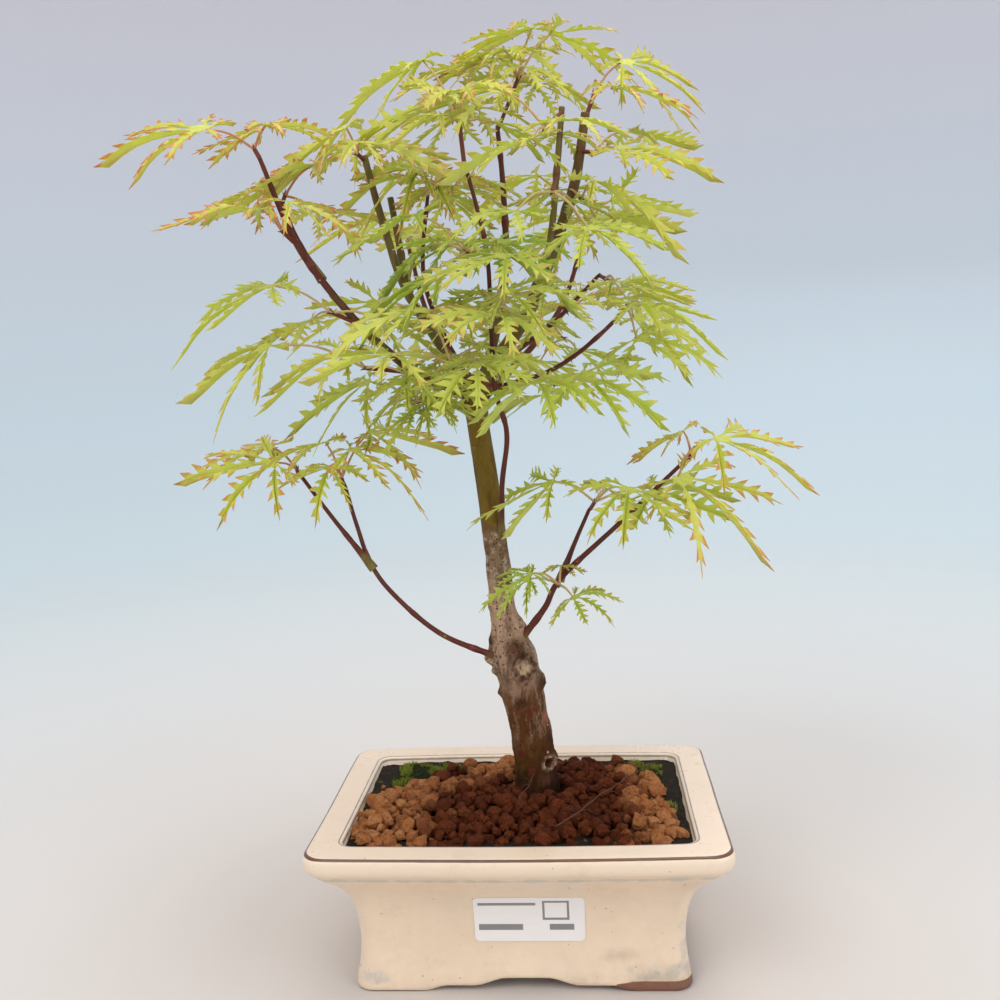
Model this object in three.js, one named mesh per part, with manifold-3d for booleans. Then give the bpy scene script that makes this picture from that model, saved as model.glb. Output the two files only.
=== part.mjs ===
// A lace-leaf maple grown as a bonsai, standing in a glazed rectangular pot.
// Millimetres, +Z up. The plan below is laid out around the middle of the pot's foot; +X runs
// along the pot's long side and -Y is the side that the tree shows to its viewer. At the end the
// whole is moved so that the origin is on the ground, under the middle of the object's box.
import * as THREE from "three";
import Module from "manifold-3d";
import { mergeVertices } from "three/addons/utils/BufferGeometryUtils.js";

const wasm = await Module();
wasm.setup();

// ---------------------------------------------------------------- driving dimensions
const CLEARANCE = 0.35; // gap between pieces that touch each other
const MESH_TOLERANCE = 0.05;

const POT_WIDTH = 182; // outside of the rim, along X
const POT_DEPTH = 134; // outside of the rim, along Y
const POT_HEIGHT = 69;
const POT_CORNER_RADIUS = 10; // of the rim, seen from above
const RIM_BAND = 15; // width of the flat rim
const LIP_HEIGHT = 8; // upright edge of the rim
const WAIST_INSET = 19; // how far the waist lies inside the rim
const FOOT_INSET = 17; // how far the foot lies inside the rim
const WALL = 6.5;
const FLOOR_TOP = 13;
const FLOOR_UNDERSIDE = 7; // hollow below the floor, between the feet
const FOOT_WALL = 7;
const ARCH_HALF_LONG = 40; // half of the cut between two feet on the long sides
const ARCH_HALF_SHORT = 28; // the same on the short sides
const ARCH_HEIGHT = 6.2;
const DRAIN_RADIUS = 6.5;
const DRAIN_SPACING = 76; // between the two drain holes
const SCREEN_SIDE = 26; // plastic net over a drain hole
const SCREEN_THICKNESS = 1.2;
const SCREEN_HOLE = 3.2;

const SOIL_BELOW_RIM = 3.5;
const MOUND_HEIGHT = 4; // clay granules, in the middle of the heap
const MOSS_HEIGHT = 3;
const LABEL_WIDTH = 48;
const LABEL_HEIGHT = 22;
const LABEL_THICKNESS = 0.5;
const LABEL_CENTRE_X = 4;
const LABEL_CENTRE_Z = 33.5;
const LABEL_CORNER_RADIUS = 2;

const LEAF_THICKNESS = 0.5;
const BLADE_TAB = 4; // narrow base of a blade, behind where its lobes meet
const PETIOLE_RADIUS = 0.6;
const TWIG_RADIUS = 0.9;
const BUD_RADIUS = 1.5;
const TUBE_SIDES = 6;
const TWIG_SIDES = 4;
const STALK_SIDES = 3;
const TUBE_STEP = 16; // length of one stretch of a stem

const WALL_LEAN = 0.2; // how fast the inside opens out above LEAN_FROM
const LEAN_FROM = 30;
const NECK = 3.2; // how far the inside steps in below the rim's inner edge
const BED_MARGIN = 1;

const SOIL_TOP = POT_HEIGHT - SOIL_BELOW_RIM;
const BED_INSET = BED_MARGIN + Math.max(RIM_BAND + NECK,
  WAIST_INSET + WALL - WALL_LEAN * (SOIL_TOP - LEAN_FROM));
const BED_HALF_WIDTH = POT_WIDTH / 2 - BED_INSET;
const BED_HALF_DEPTH = POT_DEPTH / 2 - BED_INSET;

// ---------------------------------------------------------------- the tree's plan
// The trunk's centre line, from the cut root base up to the crown, as [x, y, z, radius].
const TRUNK = [
  [8, 2, 34, 15],
  [8, 2, 46, 13.5],
  [7, 2, 60, 11.6],
  [7, 2, 72, 10.2],
  [6, 2, 90, 9.3],
  [4, 2, 108, 9.1],
  [1, 2, 122, 9.7],
  [-1, 2, 134, 10.6],
  [-4, 3, 144, 8.2],
  [-6, 3, 160, 6.2],
  [-8, 4, 186, 5.6],
  [-11, 4, 218, 5.3],
  [-14, 5, 244, 5.2],
  [-15, 5, 258, 5.8],
  [-15, 5, 264, 5.2],
];
// Old pruning knots on the trunk: centre and radius.
const KNOTS = [
  [2, -6, 133, 5.2],
  [-12, 0, 139, 4.2],
  [11, 1, 121, 3.2],
  [14, -4, 80, 3.4],
  [-14, 2, 262, 5.4],
];
// Stems that grow on the trunk or on an earlier stem: centre line points as [x, y, z], and the
// radius at the first and last point.
const STEMS = {
  low_left_limb: { line: [[-8, -4, 137], [-34, -9, 150], [-52, -12, 167], [-63, -14, 183],
    [-70, -11, 203], [-75, -8, 221]], radii: [1.4, 1] },
  low_left_shoot: { line: [[-62, -15, 182], [-79, -15, 205], [-94, -13, 226]], radii: [1.2, 1] },
  low_right_limb: { line: [[1, 0, 143], [14, -3, 160], [22, -5, 174], [49, -9, 199], [81, -7, 228]],
    radii: [1.6, 0.9] },
  low_right_shoot: { line: [[21, -4, 172], [28, 0, 188], [36, 2, 205]], radii: [1.2, 0.9] },
  side_limb: { line: [[-6, 0, 195], [-3, -10, 219], [0, -12, 241], [-4, -18, 262], [-4, -24, 299],
    [-5, -28, 323], [-12, -30, 355]], radii: [1.4, 0.9] },
  left_limb: { line: [[-15, 3, 257], [-29, -6, 264], [-43, -12, 272], [-61, -20, 290],
    [-78, -26, 313], [-87, -30, 330], [-98, -34, 363]], radii: [2.8, 1] },
  left_limb_shoot: { line: [[-76, -24, 310], [-86, -18, 326], [-95, -14, 346]], radii: [1.3, 1] },
  left_mid_limb: { line: [[-16, 8, 260], [-30, 4, 281], [-44, 0, 307], [-50, -3, 328],
    [-54, -5, 345], [-58, -7, 364]], radii: [2.3, 1.5] },
  left_mid_stub: { line: [[-43, 1, 305], [-47, 8, 328], [-50, 9, 348]], radii: [1.6, 1.6] },
  dark_shoot: { line: [[-16, 9, 260], [-28, 16, 283], [-38, 20, 314], [-34, 24, 357]],
    radii: [1.4, 0.9] },
  centre_back_limb: { line: [[-13, 9, 260], [-6, 19, 283], [0, 26, 315], [0, 32, 352],
    [-2, 36, 383]], radii: [2.7, 1.1] },
  right_main_limb: { line: [[-12, 3, 260], [0, 0, 278], [12, -3, 295], [21, -5, 315], [33, -3, 347],
    [39, -1, 378]], radii: [3.9, 2] },
  right_front_limb: { line: [[13, -4, 299], [22, -16, 323], [26, -18, 352], [29, -20, 377]],
    radii: [1.7, 1.2] },
  right_spread: { line: [[-4, 3, 272], [18, 13, 286], [32, 18, 299], [44, 22, 311]],
    radii: [1.6, 0.9] },
  right_low_shoot: { line: [[-12, 2, 259], [16, -13, 266], [30, -15, 273], [42, -17, 282],
    [53, -17, 292]], radii: [1.4, 0.9] },
  back_left_limb: { line: [[-15, 9, 258], [-28, 32, 276], [-42, 52, 300], [-50, 62, 330]],
    radii: [2.2, 1.1] },
  back_right_limb: { line: [[-11, 9, 258], [8, 34, 276], [26, 54, 300], [38, 64, 334]],
    radii: [2.2, 1.1] },
};
// Leafy shoots. Each leaves its stem at "from" and ends in a bud at "bud"; every leaf is
// [x, y, z, heading, size]: where the blade meets its stalk, the way its middle lobe points
// seen from above (0 is +X and 90 is +Y, in degrees), and the length of that lobe.
const SPRAYS = {
  spray_left_tip: { from: [-97, -34, 360], bud: [-99, -34, 364],
    leaves: [[-117, -40, 372, 186, 50], [-96, -27, 374, 150, 34], [-92, -40, 372, 350, 30]] },
  spray_left_crest: { from: [-58, -7, 362], bud: [-60, -12, 364],
    leaves: [[-64, -14, 375, 168, 46], [-56, -26, 366, 338, 44]] },
  spray_left_shoot: { from: [-94, -14, 344], bud: [-93, -12, 348],
    leaves: [[-78, -20, 359, 178, 46], [-82, -4, 342, 60, 40]] },
  spray_left_mid: { from: [-86, -30, 326], bud: [-89, -36, 330],
    leaves: [[-95, -44, 338, 196, 46], [-84, -40, 341, 318, 32], [-101, -26, 350, 176, 34]] },
  spray_left_inner: { from: [-62, -21, 291], bud: [-72, -26, 296],
    leaves: [[-95, -33, 308, 200, 46], [-84, -14, 294, 160, 40]] },
  spray_left_lower: { from: [-40, -12, 269], bud: [-58, -32, 272],
    leaves: [[-96, -38, 283, 196, 52], [-64, -48, 280, 216, 48]] },
  spray_left_under: { from: [-24, -4, 259], bud: [-40, -14, 256],
    leaves: [[-60, -14, 266, 188, 40], [-32, -28, 257, 232, 26]] },
  spray_front_left: { from: [-6, -18, 262], bud: [-20, -40, 272],
    leaves: [[-28, -52, 294, 212, 46], [-42, -60, 277, 230, 46], [-8, -58, 272, 285, 40]] },
  spray_front: { from: [-4, -24, 296], bud: [0, -48, 294],
    leaves: [[3, -64, 290, 248, 42], [6, -66, 313, 236, 40]] },
  spray_centre: { from: [-5, -28, 320], bud: [-12, -34, 318],
    leaves: [[-20, -46, 309, 192, 46], [-32, -38, 334, 206, 42]] },
  spray_inner_left: { from: [-35, 23, 350], bud: [-34, 18, 354],
    leaves: [[-34, -2, 358, 214, 40], [-42, 26, 366, 140, 44]] },
  spray_top: { from: [-2, 36, 380], bud: [10, 6, 396],
    leaves: [[17, -6, 407, 172, 42], [25, 6, 409, 8, 46], [12, 20, 404, 100, 44]] },
  spray_top_right: { from: [39, -1, 376], bud: [43, 0, 386],
    leaves: [[58, 8, 401, 352, 46], [50, -14, 386, 336, 44]] },
  spray_top_left: { from: [-12, -30, 353], bud: [-14, -24, 372],
    leaves: [[-29, -16, 400, 186, 42], [-8, -2, 401, 176, 40], [-26, 6, 388, 156, 46]] },
  spray_top_front: { from: [29, -20, 375], bud: [22, -34, 366],
    leaves: [[17, -54, 359, 200, 50], [4, -30, 383, 190, 38], [32, -46, 366, 290, 34]] },
  spray_right_upper: { from: [36, -2, 362], bud: [42, -8, 360],
    leaves: [[53, -16, 360, 350, 50], [60, 14, 372, 20, 46]] },
  spray_right_crest: { from: [33, -4, 344], bud: [36, -14, 340],
    leaves: [[41, -26, 346, 342, 60], [42, -6, 333, 334, 50]] },
  spray_front_right: { from: [26, -18, 350], bud: [24, -38, 340],
    leaves: [[10, -60, 330, 236, 34], [38, -48, 324, 304, 42]] },
  spray_right_mid: { from: [44, 22, 310], bud: [46, 14, 308],
    leaves: [[50, -6, 305, 340, 52], [58, 32, 300, 24, 46]] },
  spray_right_low: { from: [52, -17, 291], bud: [54, -20, 294],
    leaves: [[58, -32, 294, 330, 46], [62, -12, 280, 334, 52], [64, 6, 290, 4, 44]] },
  spray_right_under: { from: [18, -13, 267], bud: [22, -26, 262],
    leaves: [[34, -34, 266, 326, 48], [15, -52, 264, 282, 44]] },
  spray_right_back: { from: [18, 13, 285], bud: [26, 26, 282],
    leaves: [[32, 38, 277, 28, 42], [14, 46, 272, 104, 44]] },
  spray_back_left: { from: [-50, 62, 328], bud: [-51, 64, 334],
    leaves: [[-62, 62, 346, 168, 48], [-44, 76, 342, 106, 46], [-30, 58, 354, 40, 40]] },
  spray_back_mid: { from: [-42, 51, 298], bud: [-46, 54, 298],
    leaves: [[-66, 54, 304, 176, 48], [-44, 72, 296, 116, 46], [-16, 66, 300, 80, 44]] },
  spray_back_right: { from: [38, 64, 332], bud: [38, 65, 338],
    leaves: [[52, 64, 350, 12, 46], [30, 78, 344, 84, 46], [16, 56, 362, 140, 42]] },
  spray_back_low: { from: [26, 53, 298], bud: [28, 56, 296],
    leaves: [[52, 58, 306, 16, 48], [28, 74, 300, 70, 46]] },
  spray_low_right_tip: { from: [80, -7, 226], bud: [81, -7, 230],
    leaves: [[92, -8, 235, 346, 50], [79, 4, 238, 146, 30], [74, -22, 220, 322, 50]] },
  spray_low_right_mid: { from: [36, 2, 204], bud: [38, -4, 208],
    leaves: [[52, -32, 217, 268, 44], [63, -6, 212, 322, 44], [20, -16, 219, 188, 42]] },
  spray_low_right_base: { from: [20, -5, 170], bud: [21, -12, 172],
    leaves: [[22, -14, 181, 70, 17], [27, -20, 168, 318, 26], [8, -16, 176, 178, 26]] },
  spray_low_left: { from: [-75, -8, 219], bud: [-76, -8, 223],
    leaves: [[-80, -18, 240, 168, 38], [-64, 2, 243, 8, 46], [-68, -24, 237, 348, 38]] },
  spray_low_left_tip: { from: [-94, -13, 224], bud: [-95, -13, 228],
    leaves: [[-102, -22, 232, 206, 48], [-110, -2, 238, 170, 38]] },
};
// Lobes of one leaf: angle from the middle lobe in degrees, and length as a share of it.
const LOBES = [[-112, 0.4], [-74, 0.68], [-37, 0.88], [0, 1], [37, 0.88], [74, 0.68], [112, 0.4]];
const NOTCH_SHARE = 0.27; // how far out two lobes part, as a share of the shorter one's length
const BLADE_TILT = 14; // degrees that a blade slopes down from its stalk
const DROOP = 0.3; // fall of a lobe's tip below the blade's plane, as a share of the size

// Outlines on the soil, seen from above, as points of a closed smooth curve. Both numbers are
// shares of the bed: its middle is [0, 0] and its back right corner is [1, 1].
const GRANULE_HEAP = [[-0.91, -0.88], [-0.28, -0.97], [0.43, -0.97], [0.85, -0.83],
  [0.87, -0.19], [0.80, 0.32], [0.57, 0.83], [0.11, 0.93], [-0.26, 0.88], [-0.51, 0.60],
  [-0.74, 0.32], [-0.91, 0.05]];
const MOSS_PADS = {
  moss_back_left: [[-0.88, 0.35], [-0.66, 0.56], [-0.43, 0.86], [-0.63, 0.97], [-0.87, 0.95]],
  moss_back_right: [[0.74, 0.60], [0.88, 0.37], [0.91, 0.79], [0.85, 0.97], [0.71, 0.93]],
  moss_front_right: [[0.92, -0.83], [0.95, -0.46], [0.95, -0.09], [0.92, -0.32]],
};
const ROOTLETS = {
  loose_rootlet: [[0.37, -0.83], [0.48, -0.56], [0.63, -0.28], [0.74, 0.14], [0.80, 0.32]],
  trunk_rootlet: [[-0.09, -0.65], [-0.01, -0.49], [0.03, -0.35]],
};

// ---------------------------------------------------------------- shape helpers
const vector = ([x, y, z]) => new THREE.Vector3(x, y, z);

// A closed solid's geometry from rings that each hold the same number of points.
function skin(rings) {
  const count = rings[0].length;
  const points = rings.flat();
  const firstCap = points.length;
  points.push(middle(rings[0]), middle(rings.at(-1)));
  const faces = [];
  for (let i = 0; i < count; i++) {
    const next = (i + 1) % count;
    faces.push(firstCap, next, i);
    const top = (rings.length - 1) * count;
    faces.push(firstCap + 1, top + i, top + next);
    for (let k = 0; k < rings.length - 1; k++) {
      const low = k * count;
      const high = low + count;
      faces.push(low + i, low + next, high + next, low + i, high + next, high + i);
    }
  }
  return geometryOf(points, faces);
}

function middle(points) {
  return points.reduce((sum, p) => sum.add(p), new THREE.Vector3()).divideScalar(points.length);
}

function geometryOf(points, faces) {
  const geometry = new THREE.BufferGeometry().setFromPoints(points);
  geometry.setIndex(faces);
  return geometry;
}

// A three.js geometry as a manifold-3d solid, and back.
function solid(geometry) {
  const bare = new THREE.BufferGeometry();
  bare.setAttribute("position", geometry.getAttribute("position"));
  if (geometry.index) bare.setIndex(geometry.index);
  const merged = mergeVertices(bare, 1e-4);
  return new wasm.Manifold(new wasm.Mesh({
    numProp: 3,
    vertProperties: merged.attributes.position.array,
    triVerts: new Uint32Array(merged.index.array),
  }));
}

function geometryFrom(manifold) {
  const mesh = manifold.getMesh();
  const geometry = new THREE.BufferGeometry();
  geometry.setAttribute("position", new THREE.BufferAttribute(mesh.vertProperties, mesh.numProp));
  geometry.setIndex(new THREE.BufferAttribute(mesh.triVerts, 1));
  return geometry;
}

const join = (solids) => solids.reduce((all, s) => all.add(s));

function largestBody(manifold) {
  return manifold.decompose().reduce((a, b) => (b.volume() > a.volume() ? b : a));
}

function boxSolid(width, depth, height, x, y, z) {
  return solid(new THREE.BoxGeometry(width, depth, height).translate(x, y, z));
}

function cylinderSolid(radius, height, sides, x, y, z) {
  return solid(new THREE.CylinderGeometry(radius, radius, height, sides)
    .rotateX(Math.PI / 2).translate(x, y, z));
}

// A tube along a smooth line through the points; radiusAt takes the share of its length.
function tube(line, radiusAt, sides, step = TUBE_STEP) {
  const curve = new THREE.CatmullRomCurve3(line.map(vector));
  const steps = Math.max(line.length - 1, Math.round(curve.getLength() / step));
  const frames = curve.computeFrenetFrames(steps, false);
  const rings = [];
  for (let k = 0; k <= steps; k++) {
    const centre = curve.getPointAt(k / steps);
    const radius = radiusAt(k / steps);
    rings.push(Array.from({ length: sides }, (_, i) => {
      const angle = (i / sides) * 2 * Math.PI;
      return centre.clone()
        .addScaledVector(frames.normals[k], radius * Math.cos(angle))
        .addScaledVector(frames.binormals[k], radius * Math.sin(angle));
    }));
  }
  return solid(skin(rings));
}

// ---------------------------------------------------------------- pot
// A rounded rectangle around the pot's middle, "inset" inside the rim, at height z.
function potRing(inset, z) {
  const halfWidth = POT_WIDTH / 2 - inset;
  const halfDepth = POT_DEPTH / 2 - inset;
  const radius = Math.max(3, POT_CORNER_RADIUS - inset * 0.15);
  const shape = new THREE.Shape();
  const corners = [[1, 1, 0], [-1, 1, 90], [-1, -1, 180], [1, -1, 270]];
  for (const [sx, sy, start] of corners) {
    const from = THREE.MathUtils.degToRad(start);
    shape.absarc(sx * (halfWidth - radius), sy * (halfDepth - radius), radius, from,
      from + Math.PI / 2, false);
  }
  const ring = shape.getPoints(2).slice(0, -1);
  return ring.map((p) => new THREE.Vector3(p.x, p.y, z));
}

// The pot's outside as [inset, z] points of a smooth profile, grown outwards by "grow".
function potOutside(grow = 0) {
  const lipFoot = POT_HEIGHT - LIP_HEIGHT;
  const profile = new THREE.SplineCurve([
    new THREE.Vector2(FOOT_INSET, 0),
    new THREE.Vector2(WAIST_INSET - 0.3, 9),
    new THREE.Vector2(WAIST_INSET, 20),
    new THREE.Vector2(WAIST_INSET - 1, 32),
    new THREE.Vector2(WAIST_INSET - 5, 46),
    new THREE.Vector2(WAIST_INSET - 10.5, 54),
    new THREE.Vector2(1.6, lipFoot - 2),
  ]);
  const rings = profile.getPoints(10).map((p) => potRing(p.x - grow, p.y));
  rings.push(potRing(0.2 - grow, lipFoot + 1));
  rings.push(potRing(-grow, POT_HEIGHT - 2.5));
  rings.push(potRing(1 - grow, POT_HEIGHT));
  return solid(skin(rings));
}

// The planting space up to a height, with "gap" taken off all round.
function potInside(gap, top) {
  const wallInset = (z) => WAIST_INSET + WALL - WALL_LEAN * Math.max(0, z - LEAN_FROM) + gap;
  const rings = [potRing(wallInset(0) + 3, FLOOR_TOP + gap)];
  for (const z of [22, 34, 46, 56]) rings.push(potRing(wallInset(z), z));
  rings.push(potRing(RIM_BAND + NECK + gap, POT_HEIGHT - 4));
  rings.push(potRing(RIM_BAND + 1.4 + gap, POT_HEIGHT - 1));
  rings.push(potRing(RIM_BAND + gap, POT_HEIGHT + 1));
  return solid(skin(rings)).trimByPlane([0, 0, -1], -top);
}

// The cloud-shaped cut between two feet, extruded through the foot wall.
function footArch(half, length) {
  const shape = new THREE.Shape();
  shape.moveTo(-half, -1);
  shape.quadraticCurveTo(-half * 0.82, 1.6, -half * 0.7, 2.4);
  shape.quadraticCurveTo(-half * 0.58, 0.4, -half * 0.48, 2.2);
  shape.quadraticCurveTo(-half * 0.38, ARCH_HEIGHT, -half * 0.2, ARCH_HEIGHT);
  shape.lineTo(half * 0.2, ARCH_HEIGHT);
  shape.quadraticCurveTo(half * 0.38, ARCH_HEIGHT, half * 0.48, 2.2);
  shape.quadraticCurveTo(half * 0.58, 0.4, half * 0.7, 2.4);
  shape.quadraticCurveTo(half * 0.82, 1.6, half, -1);
  const geometry = new THREE.ExtrudeGeometry(shape, { depth: length, bevelEnabled: false,
    curveSegments: 3 });
  return geometry.translate(0, 0, -length / 2).rotateX(Math.PI / 2);
}

function drainCentres() {
  return [-DRAIN_SPACING / 2, DRAIN_SPACING / 2];
}

function potSolid() {
  const recess = solid(skin([potRing(FOOT_INSET + FOOT_WALL, -1),
    potRing(FOOT_INSET + FOOT_WALL + 2, FLOOR_UNDERSIDE)]));
  const cuts = [
    potInside(0, POT_HEIGHT + 1),
    recess,
    solid(footArch(ARCH_HALF_LONG, POT_DEPTH)),
    solid(footArch(ARCH_HALF_SHORT, POT_WIDTH).rotateZ(Math.PI / 2)),
    ...drainCentres().map((x) => cylinderSolid(DRAIN_RADIUS, 2 * FLOOR_TOP, 12, x, 0, FLOOR_TOP)),
  ];
  return potOutside().subtract(join(cuts));
}

// ---------------------------------------------------------------- what the pot holds
function screenSolid(x) {
  const z = FLOOR_TOP + CLEARANCE + SCREEN_THICKNESS / 2;
  const plate = boxSolid(SCREEN_SIDE, SCREEN_SIDE, SCREEN_THICKNESS, x, 0, z);
  const pitch = SCREEN_HOLE * 1.9;
  const holes = [];
  for (const i of [-1, 0, 1]) {
    for (const j of [-1, 0, 1]) {
      holes.push(boxSolid(SCREEN_HOLE, SCREEN_HOLE, 3 * SCREEN_THICKNESS, x + i * pitch,
        j * pitch, z));
    }
  }
  return plate.subtract(join(holes));
}

function soilSolid() {
  const pockets = drainCentres().map((x) => boxSolid(SCREEN_SIDE + 2 * CLEARANCE,
    SCREEN_SIDE + 2 * CLEARANCE, 2 * (SCREEN_THICKNESS + 2 * CLEARANCE), x, 0, FLOOR_TOP));
  return potInside(CLEARANCE, SOIL_TOP).subtract(join(pockets)).subtract(trunkSolid(CLEARANCE));
}

// Height of the heap's top above the soil, from 0 on its outline to 1 in its middle.
function heapHeight(share, x, y) {
  const dome = MOUND_HEIGHT * (1 - share ** 3) + 2.2;
  return dome + 0.7 * Math.sin(x * 0.9) * Math.cos(y * 0.8);
}

const onBed = ([x, y]) => [x * BED_HALF_WIDTH, y * BED_HALF_DEPTH];

// A low mound over a closed smooth outline: rings shrink towards its middle.
function mound(outline, ringCount, pointCount, heightAt) {
  const curve = new THREE.CatmullRomCurve3(outline.map((p) => vector([...onBed(p), 0])), true);
  const edge = curve.getSpacedPoints(pointCount).slice(0, -1);
  const centre = middle(edge);
  const base = SOIL_TOP + CLEARANCE;
  const ringAt = (share, z) => edge.map((p) => {
    const q = centre.clone().lerp(p, share);
    return q.setZ(z(q));
  });
  const rings = [ringAt(0.97, () => base)];
  for (let k = 0; k < ringCount; k++) {
    const share = 1 - k / ringCount;
    rings.push(ringAt(share, (q) => base + heightAt(share, q.x, q.y)));
  }
  return solid(skin(rings));
}

function granuleSolid() {
  return mound(GRANULE_HEAP, 4, 24, heapHeight).subtract(trunkSolid(CLEARANCE));
}

function mossSolid(outline, keepClearOf) {
  const pad = mound(outline, 2, 12, (share) => MOSS_HEIGHT * (1 - 0.6 * share ** 2));
  return largestBody(pad.subtract(keepClearOf));
}

// A dry root that lies on the granules, with its thicker end first.
function rootletSolid(line, heap) {
  const bounds = heap.boundingBox();
  const lift = bounds.max[2] + CLEARANCE + 0.6;
  return tube(line.map((p) => [...onBed(p), lift]), (t) => 0.7 - 0.3 * t, TWIG_SIDES, 9);
}

// A blank sticker that follows the pot's front.
function labelSolid() {
  const radius = LABEL_CORNER_RADIUS;
  const [w, h] = [LABEL_WIDTH / 2 - radius, LABEL_HEIGHT / 2 - radius];
  const shape = new THREE.Shape();
  shape.absarc(w, h, radius, 0, Math.PI / 2, false);
  shape.absarc(-w, h, radius, Math.PI / 2, Math.PI, false);
  shape.absarc(-w, -h, radius, Math.PI, 1.5 * Math.PI, false);
  shape.absarc(w, -h, radius, 1.5 * Math.PI, 2 * Math.PI, false);
  const block = new THREE.ExtrudeGeometry(shape, { depth: POT_DEPTH, bevelEnabled: false,
    curveSegments: 3 });
  block.rotateX(Math.PI / 2).translate(LABEL_CENTRE_X, 0, LABEL_CENTRE_Z);
  return solid(block).intersect(potOutside(CLEARANCE + LABEL_THICKNESS))
    .subtract(potOutside(CLEARANCE));
}

// ---------------------------------------------------------------- wood
function trunkSolid(grow) {
  const line = TRUNK.map(([x, y, z]) => [x, y, z]);
  const radii = TRUNK.map((p) => p[3]);
  const lengths = [0];
  for (let i = 1; i < line.length; i++) {
    lengths.push(lengths[i - 1] + vector(line[i]).distanceTo(vector(line[i - 1])));
  }
  const radiusAt = (t) => {
    const s = t * lengths.at(-1);
    const i = Math.max(1, lengths.findIndex((l) => l >= s - 1e-6));
    const share = (s - lengths[i - 1]) / (lengths[i] - lengths[i - 1]);
    return THREE.MathUtils.lerp(radii[i - 1], radii[i], share) + grow;
  };
  const knots = KNOTS.map(([x, y, z, r]) => solid(new THREE.IcosahedronGeometry(r + grow, 1)
    .translate(x, y, z)));
  return join([tube(line, radiusAt, 10, 14), ...knots]);
}

function stemSolid({ line, radii }, grow) {
  const radiusAt = (t) => THREE.MathUtils.lerp(radii[0], radii[1], t) + grow;
  return tube(line, radiusAt, TUBE_SIDES);
}

// ---------------------------------------------------------------- leaves
function bladeForward([, , , heading]) {
  const turn = THREE.MathUtils.degToRad(heading);
  const tilt = THREE.MathUtils.degToRad(BLADE_TILT);
  return new THREE.Vector3(Math.cos(turn) * Math.cos(tilt), Math.sin(turn) * Math.cos(tilt),
    -Math.sin(tilt));
}

// One blade: seven pointed lobes that droop, as a thin plate, with a tab at its base that the
// stalk ends in. "grow" makes it larger all round.
function bladeSolid(leaf, grow) {
  const size = leaf[4];
  const forward = bladeForward(leaf);
  const side = new THREE.Vector3(-forward.y, forward.x, 0).normalize();
  const normal = new THREE.Vector3().crossVectors(forward, side);
  const place = (angle, out) => {
    const a = THREE.MathUtils.degToRad(angle);
    const along = forward.clone().multiplyScalar(Math.cos(a)).addScaledVector(side, Math.sin(a));
    const p = vector(leaf).addScaledVector(along, out);
    p.z -= DROOP * size * (out / size) ** 2;
    return p;
  };
  const half = LEAF_THICKNESS / 2 + grow;
  const outline = [place(180, BLADE_TAB + grow)];
  LOBES.forEach(([angle, share], i) => {
    outline.push(place(angle, size * share + grow));
    if (i === LOBES.length - 1) return;
    const [nextAngle, nextShare] = LOBES[i + 1];
    outline.push(place((angle + nextAngle) / 2, size * NOTCH_SHARE * Math.min(share, nextShare)
      + grow));
  });
  const top = [place(0, 0), ...outline].map((p) => p.clone().addScaledVector(normal, half));
  const bottom = top.map((p) => p.clone().addScaledVector(normal, -2 * half));
  const n = top.length;
  const faces = [];
  for (let i = 1; i < n; i++) {
    const next = i === n - 1 ? 1 : i + 1;
    faces.push(0, i, next, n, n + next, n + i, i, n + i, n + next, i, n + next, next);
  }
  return solid(geometryOf([...top, ...bottom], faces));
}

// A twig from its stem to a bud, and from the bud a stalk to each blade.
function spraySolid({ from, bud, leaves }, grow) {
  const parts = [
    tube([from, bud], () => TWIG_RADIUS + grow, TWIG_SIDES, 80),
    solid(new THREE.OctahedronGeometry(BUD_RADIUS + grow).translate(...bud)),
  ];
  for (const leaf of leaves) {
    const foot = vector(leaf).addScaledVector(bladeForward(leaf), -0.6 * BLADE_TAB);
    parts.push(tube([bud, foot.toArray()], () => PETIOLE_RADIUS + grow, STALK_SIDES, 80));
    parts.push(bladeSolid(leaf, grow));
  }
  return join(parts).simplify(MESH_TOLERANCE);
}

// ---------------------------------------------------------------- assembly
const COLOURS = {
  glaze: ["#ddcdb0", 0.3, 0], soil: ["#1c1712", 0.95, 0], granules: ["#7d4a2c", 0.95, 0],
  moss: ["#3d5a22", 1, 0], net: ["#22242a", 0.6, 0], label: ["#eeeaea", 0.5, 0],
  bark: ["#7b6a4d", 0.85, 0], twig: ["#5d3026", 0.6, 0], leaf: ["#a9b83a", 0.55, 0],
  root: ["#8a6a4a", 0.9, 0],
};

const tree = new THREE.Group();

function place(name, manifold, finish) {
  const [color, roughness, metalness] = COLOURS[finish];
  const material = new THREE.MeshStandardMaterial({ color, roughness, metalness });
  const mesh = new THREE.Mesh(geometryFrom(manifold), material);
  mesh.name = name;
  tree.add(mesh);
}

place("pot", potSolid(), "glaze");
place("label", labelSolid(), "label");
const soil = soilSolid();
place("soil", soil, "soil");
drainCentres().forEach((x, i) => place(i ? "drain_net_right" : "drain_net_left",
  screenSolid(x), "net"));
const heap = granuleSolid();
place("clay_granules", heap, "granules");
const heapCutter = mound(GRANULE_HEAP.map(([x, y]) => [x * 1.02, y * 1.02]), 4, 24,
  (share, x, y) => heapHeight(share, x, y) + 1);
for (const [name, outline] of Object.entries(MOSS_PADS)) {
  place(name, mossSolid(outline, heapCutter), "moss");
}
for (const [name, line] of Object.entries(ROOTLETS)) place(name, rootletSolid(line, heap), "root");

// Wood and leaves go on one by one; each is cut back from what is already there.
const grown = [];

function touching(a, b) {
  const [p, q] = [a.boundingBox(), b.boundingBox()];
  return [0, 1, 2].every((k) => p.min[k] < q.max[k] && q.min[k] < p.max[k]);
}

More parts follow.
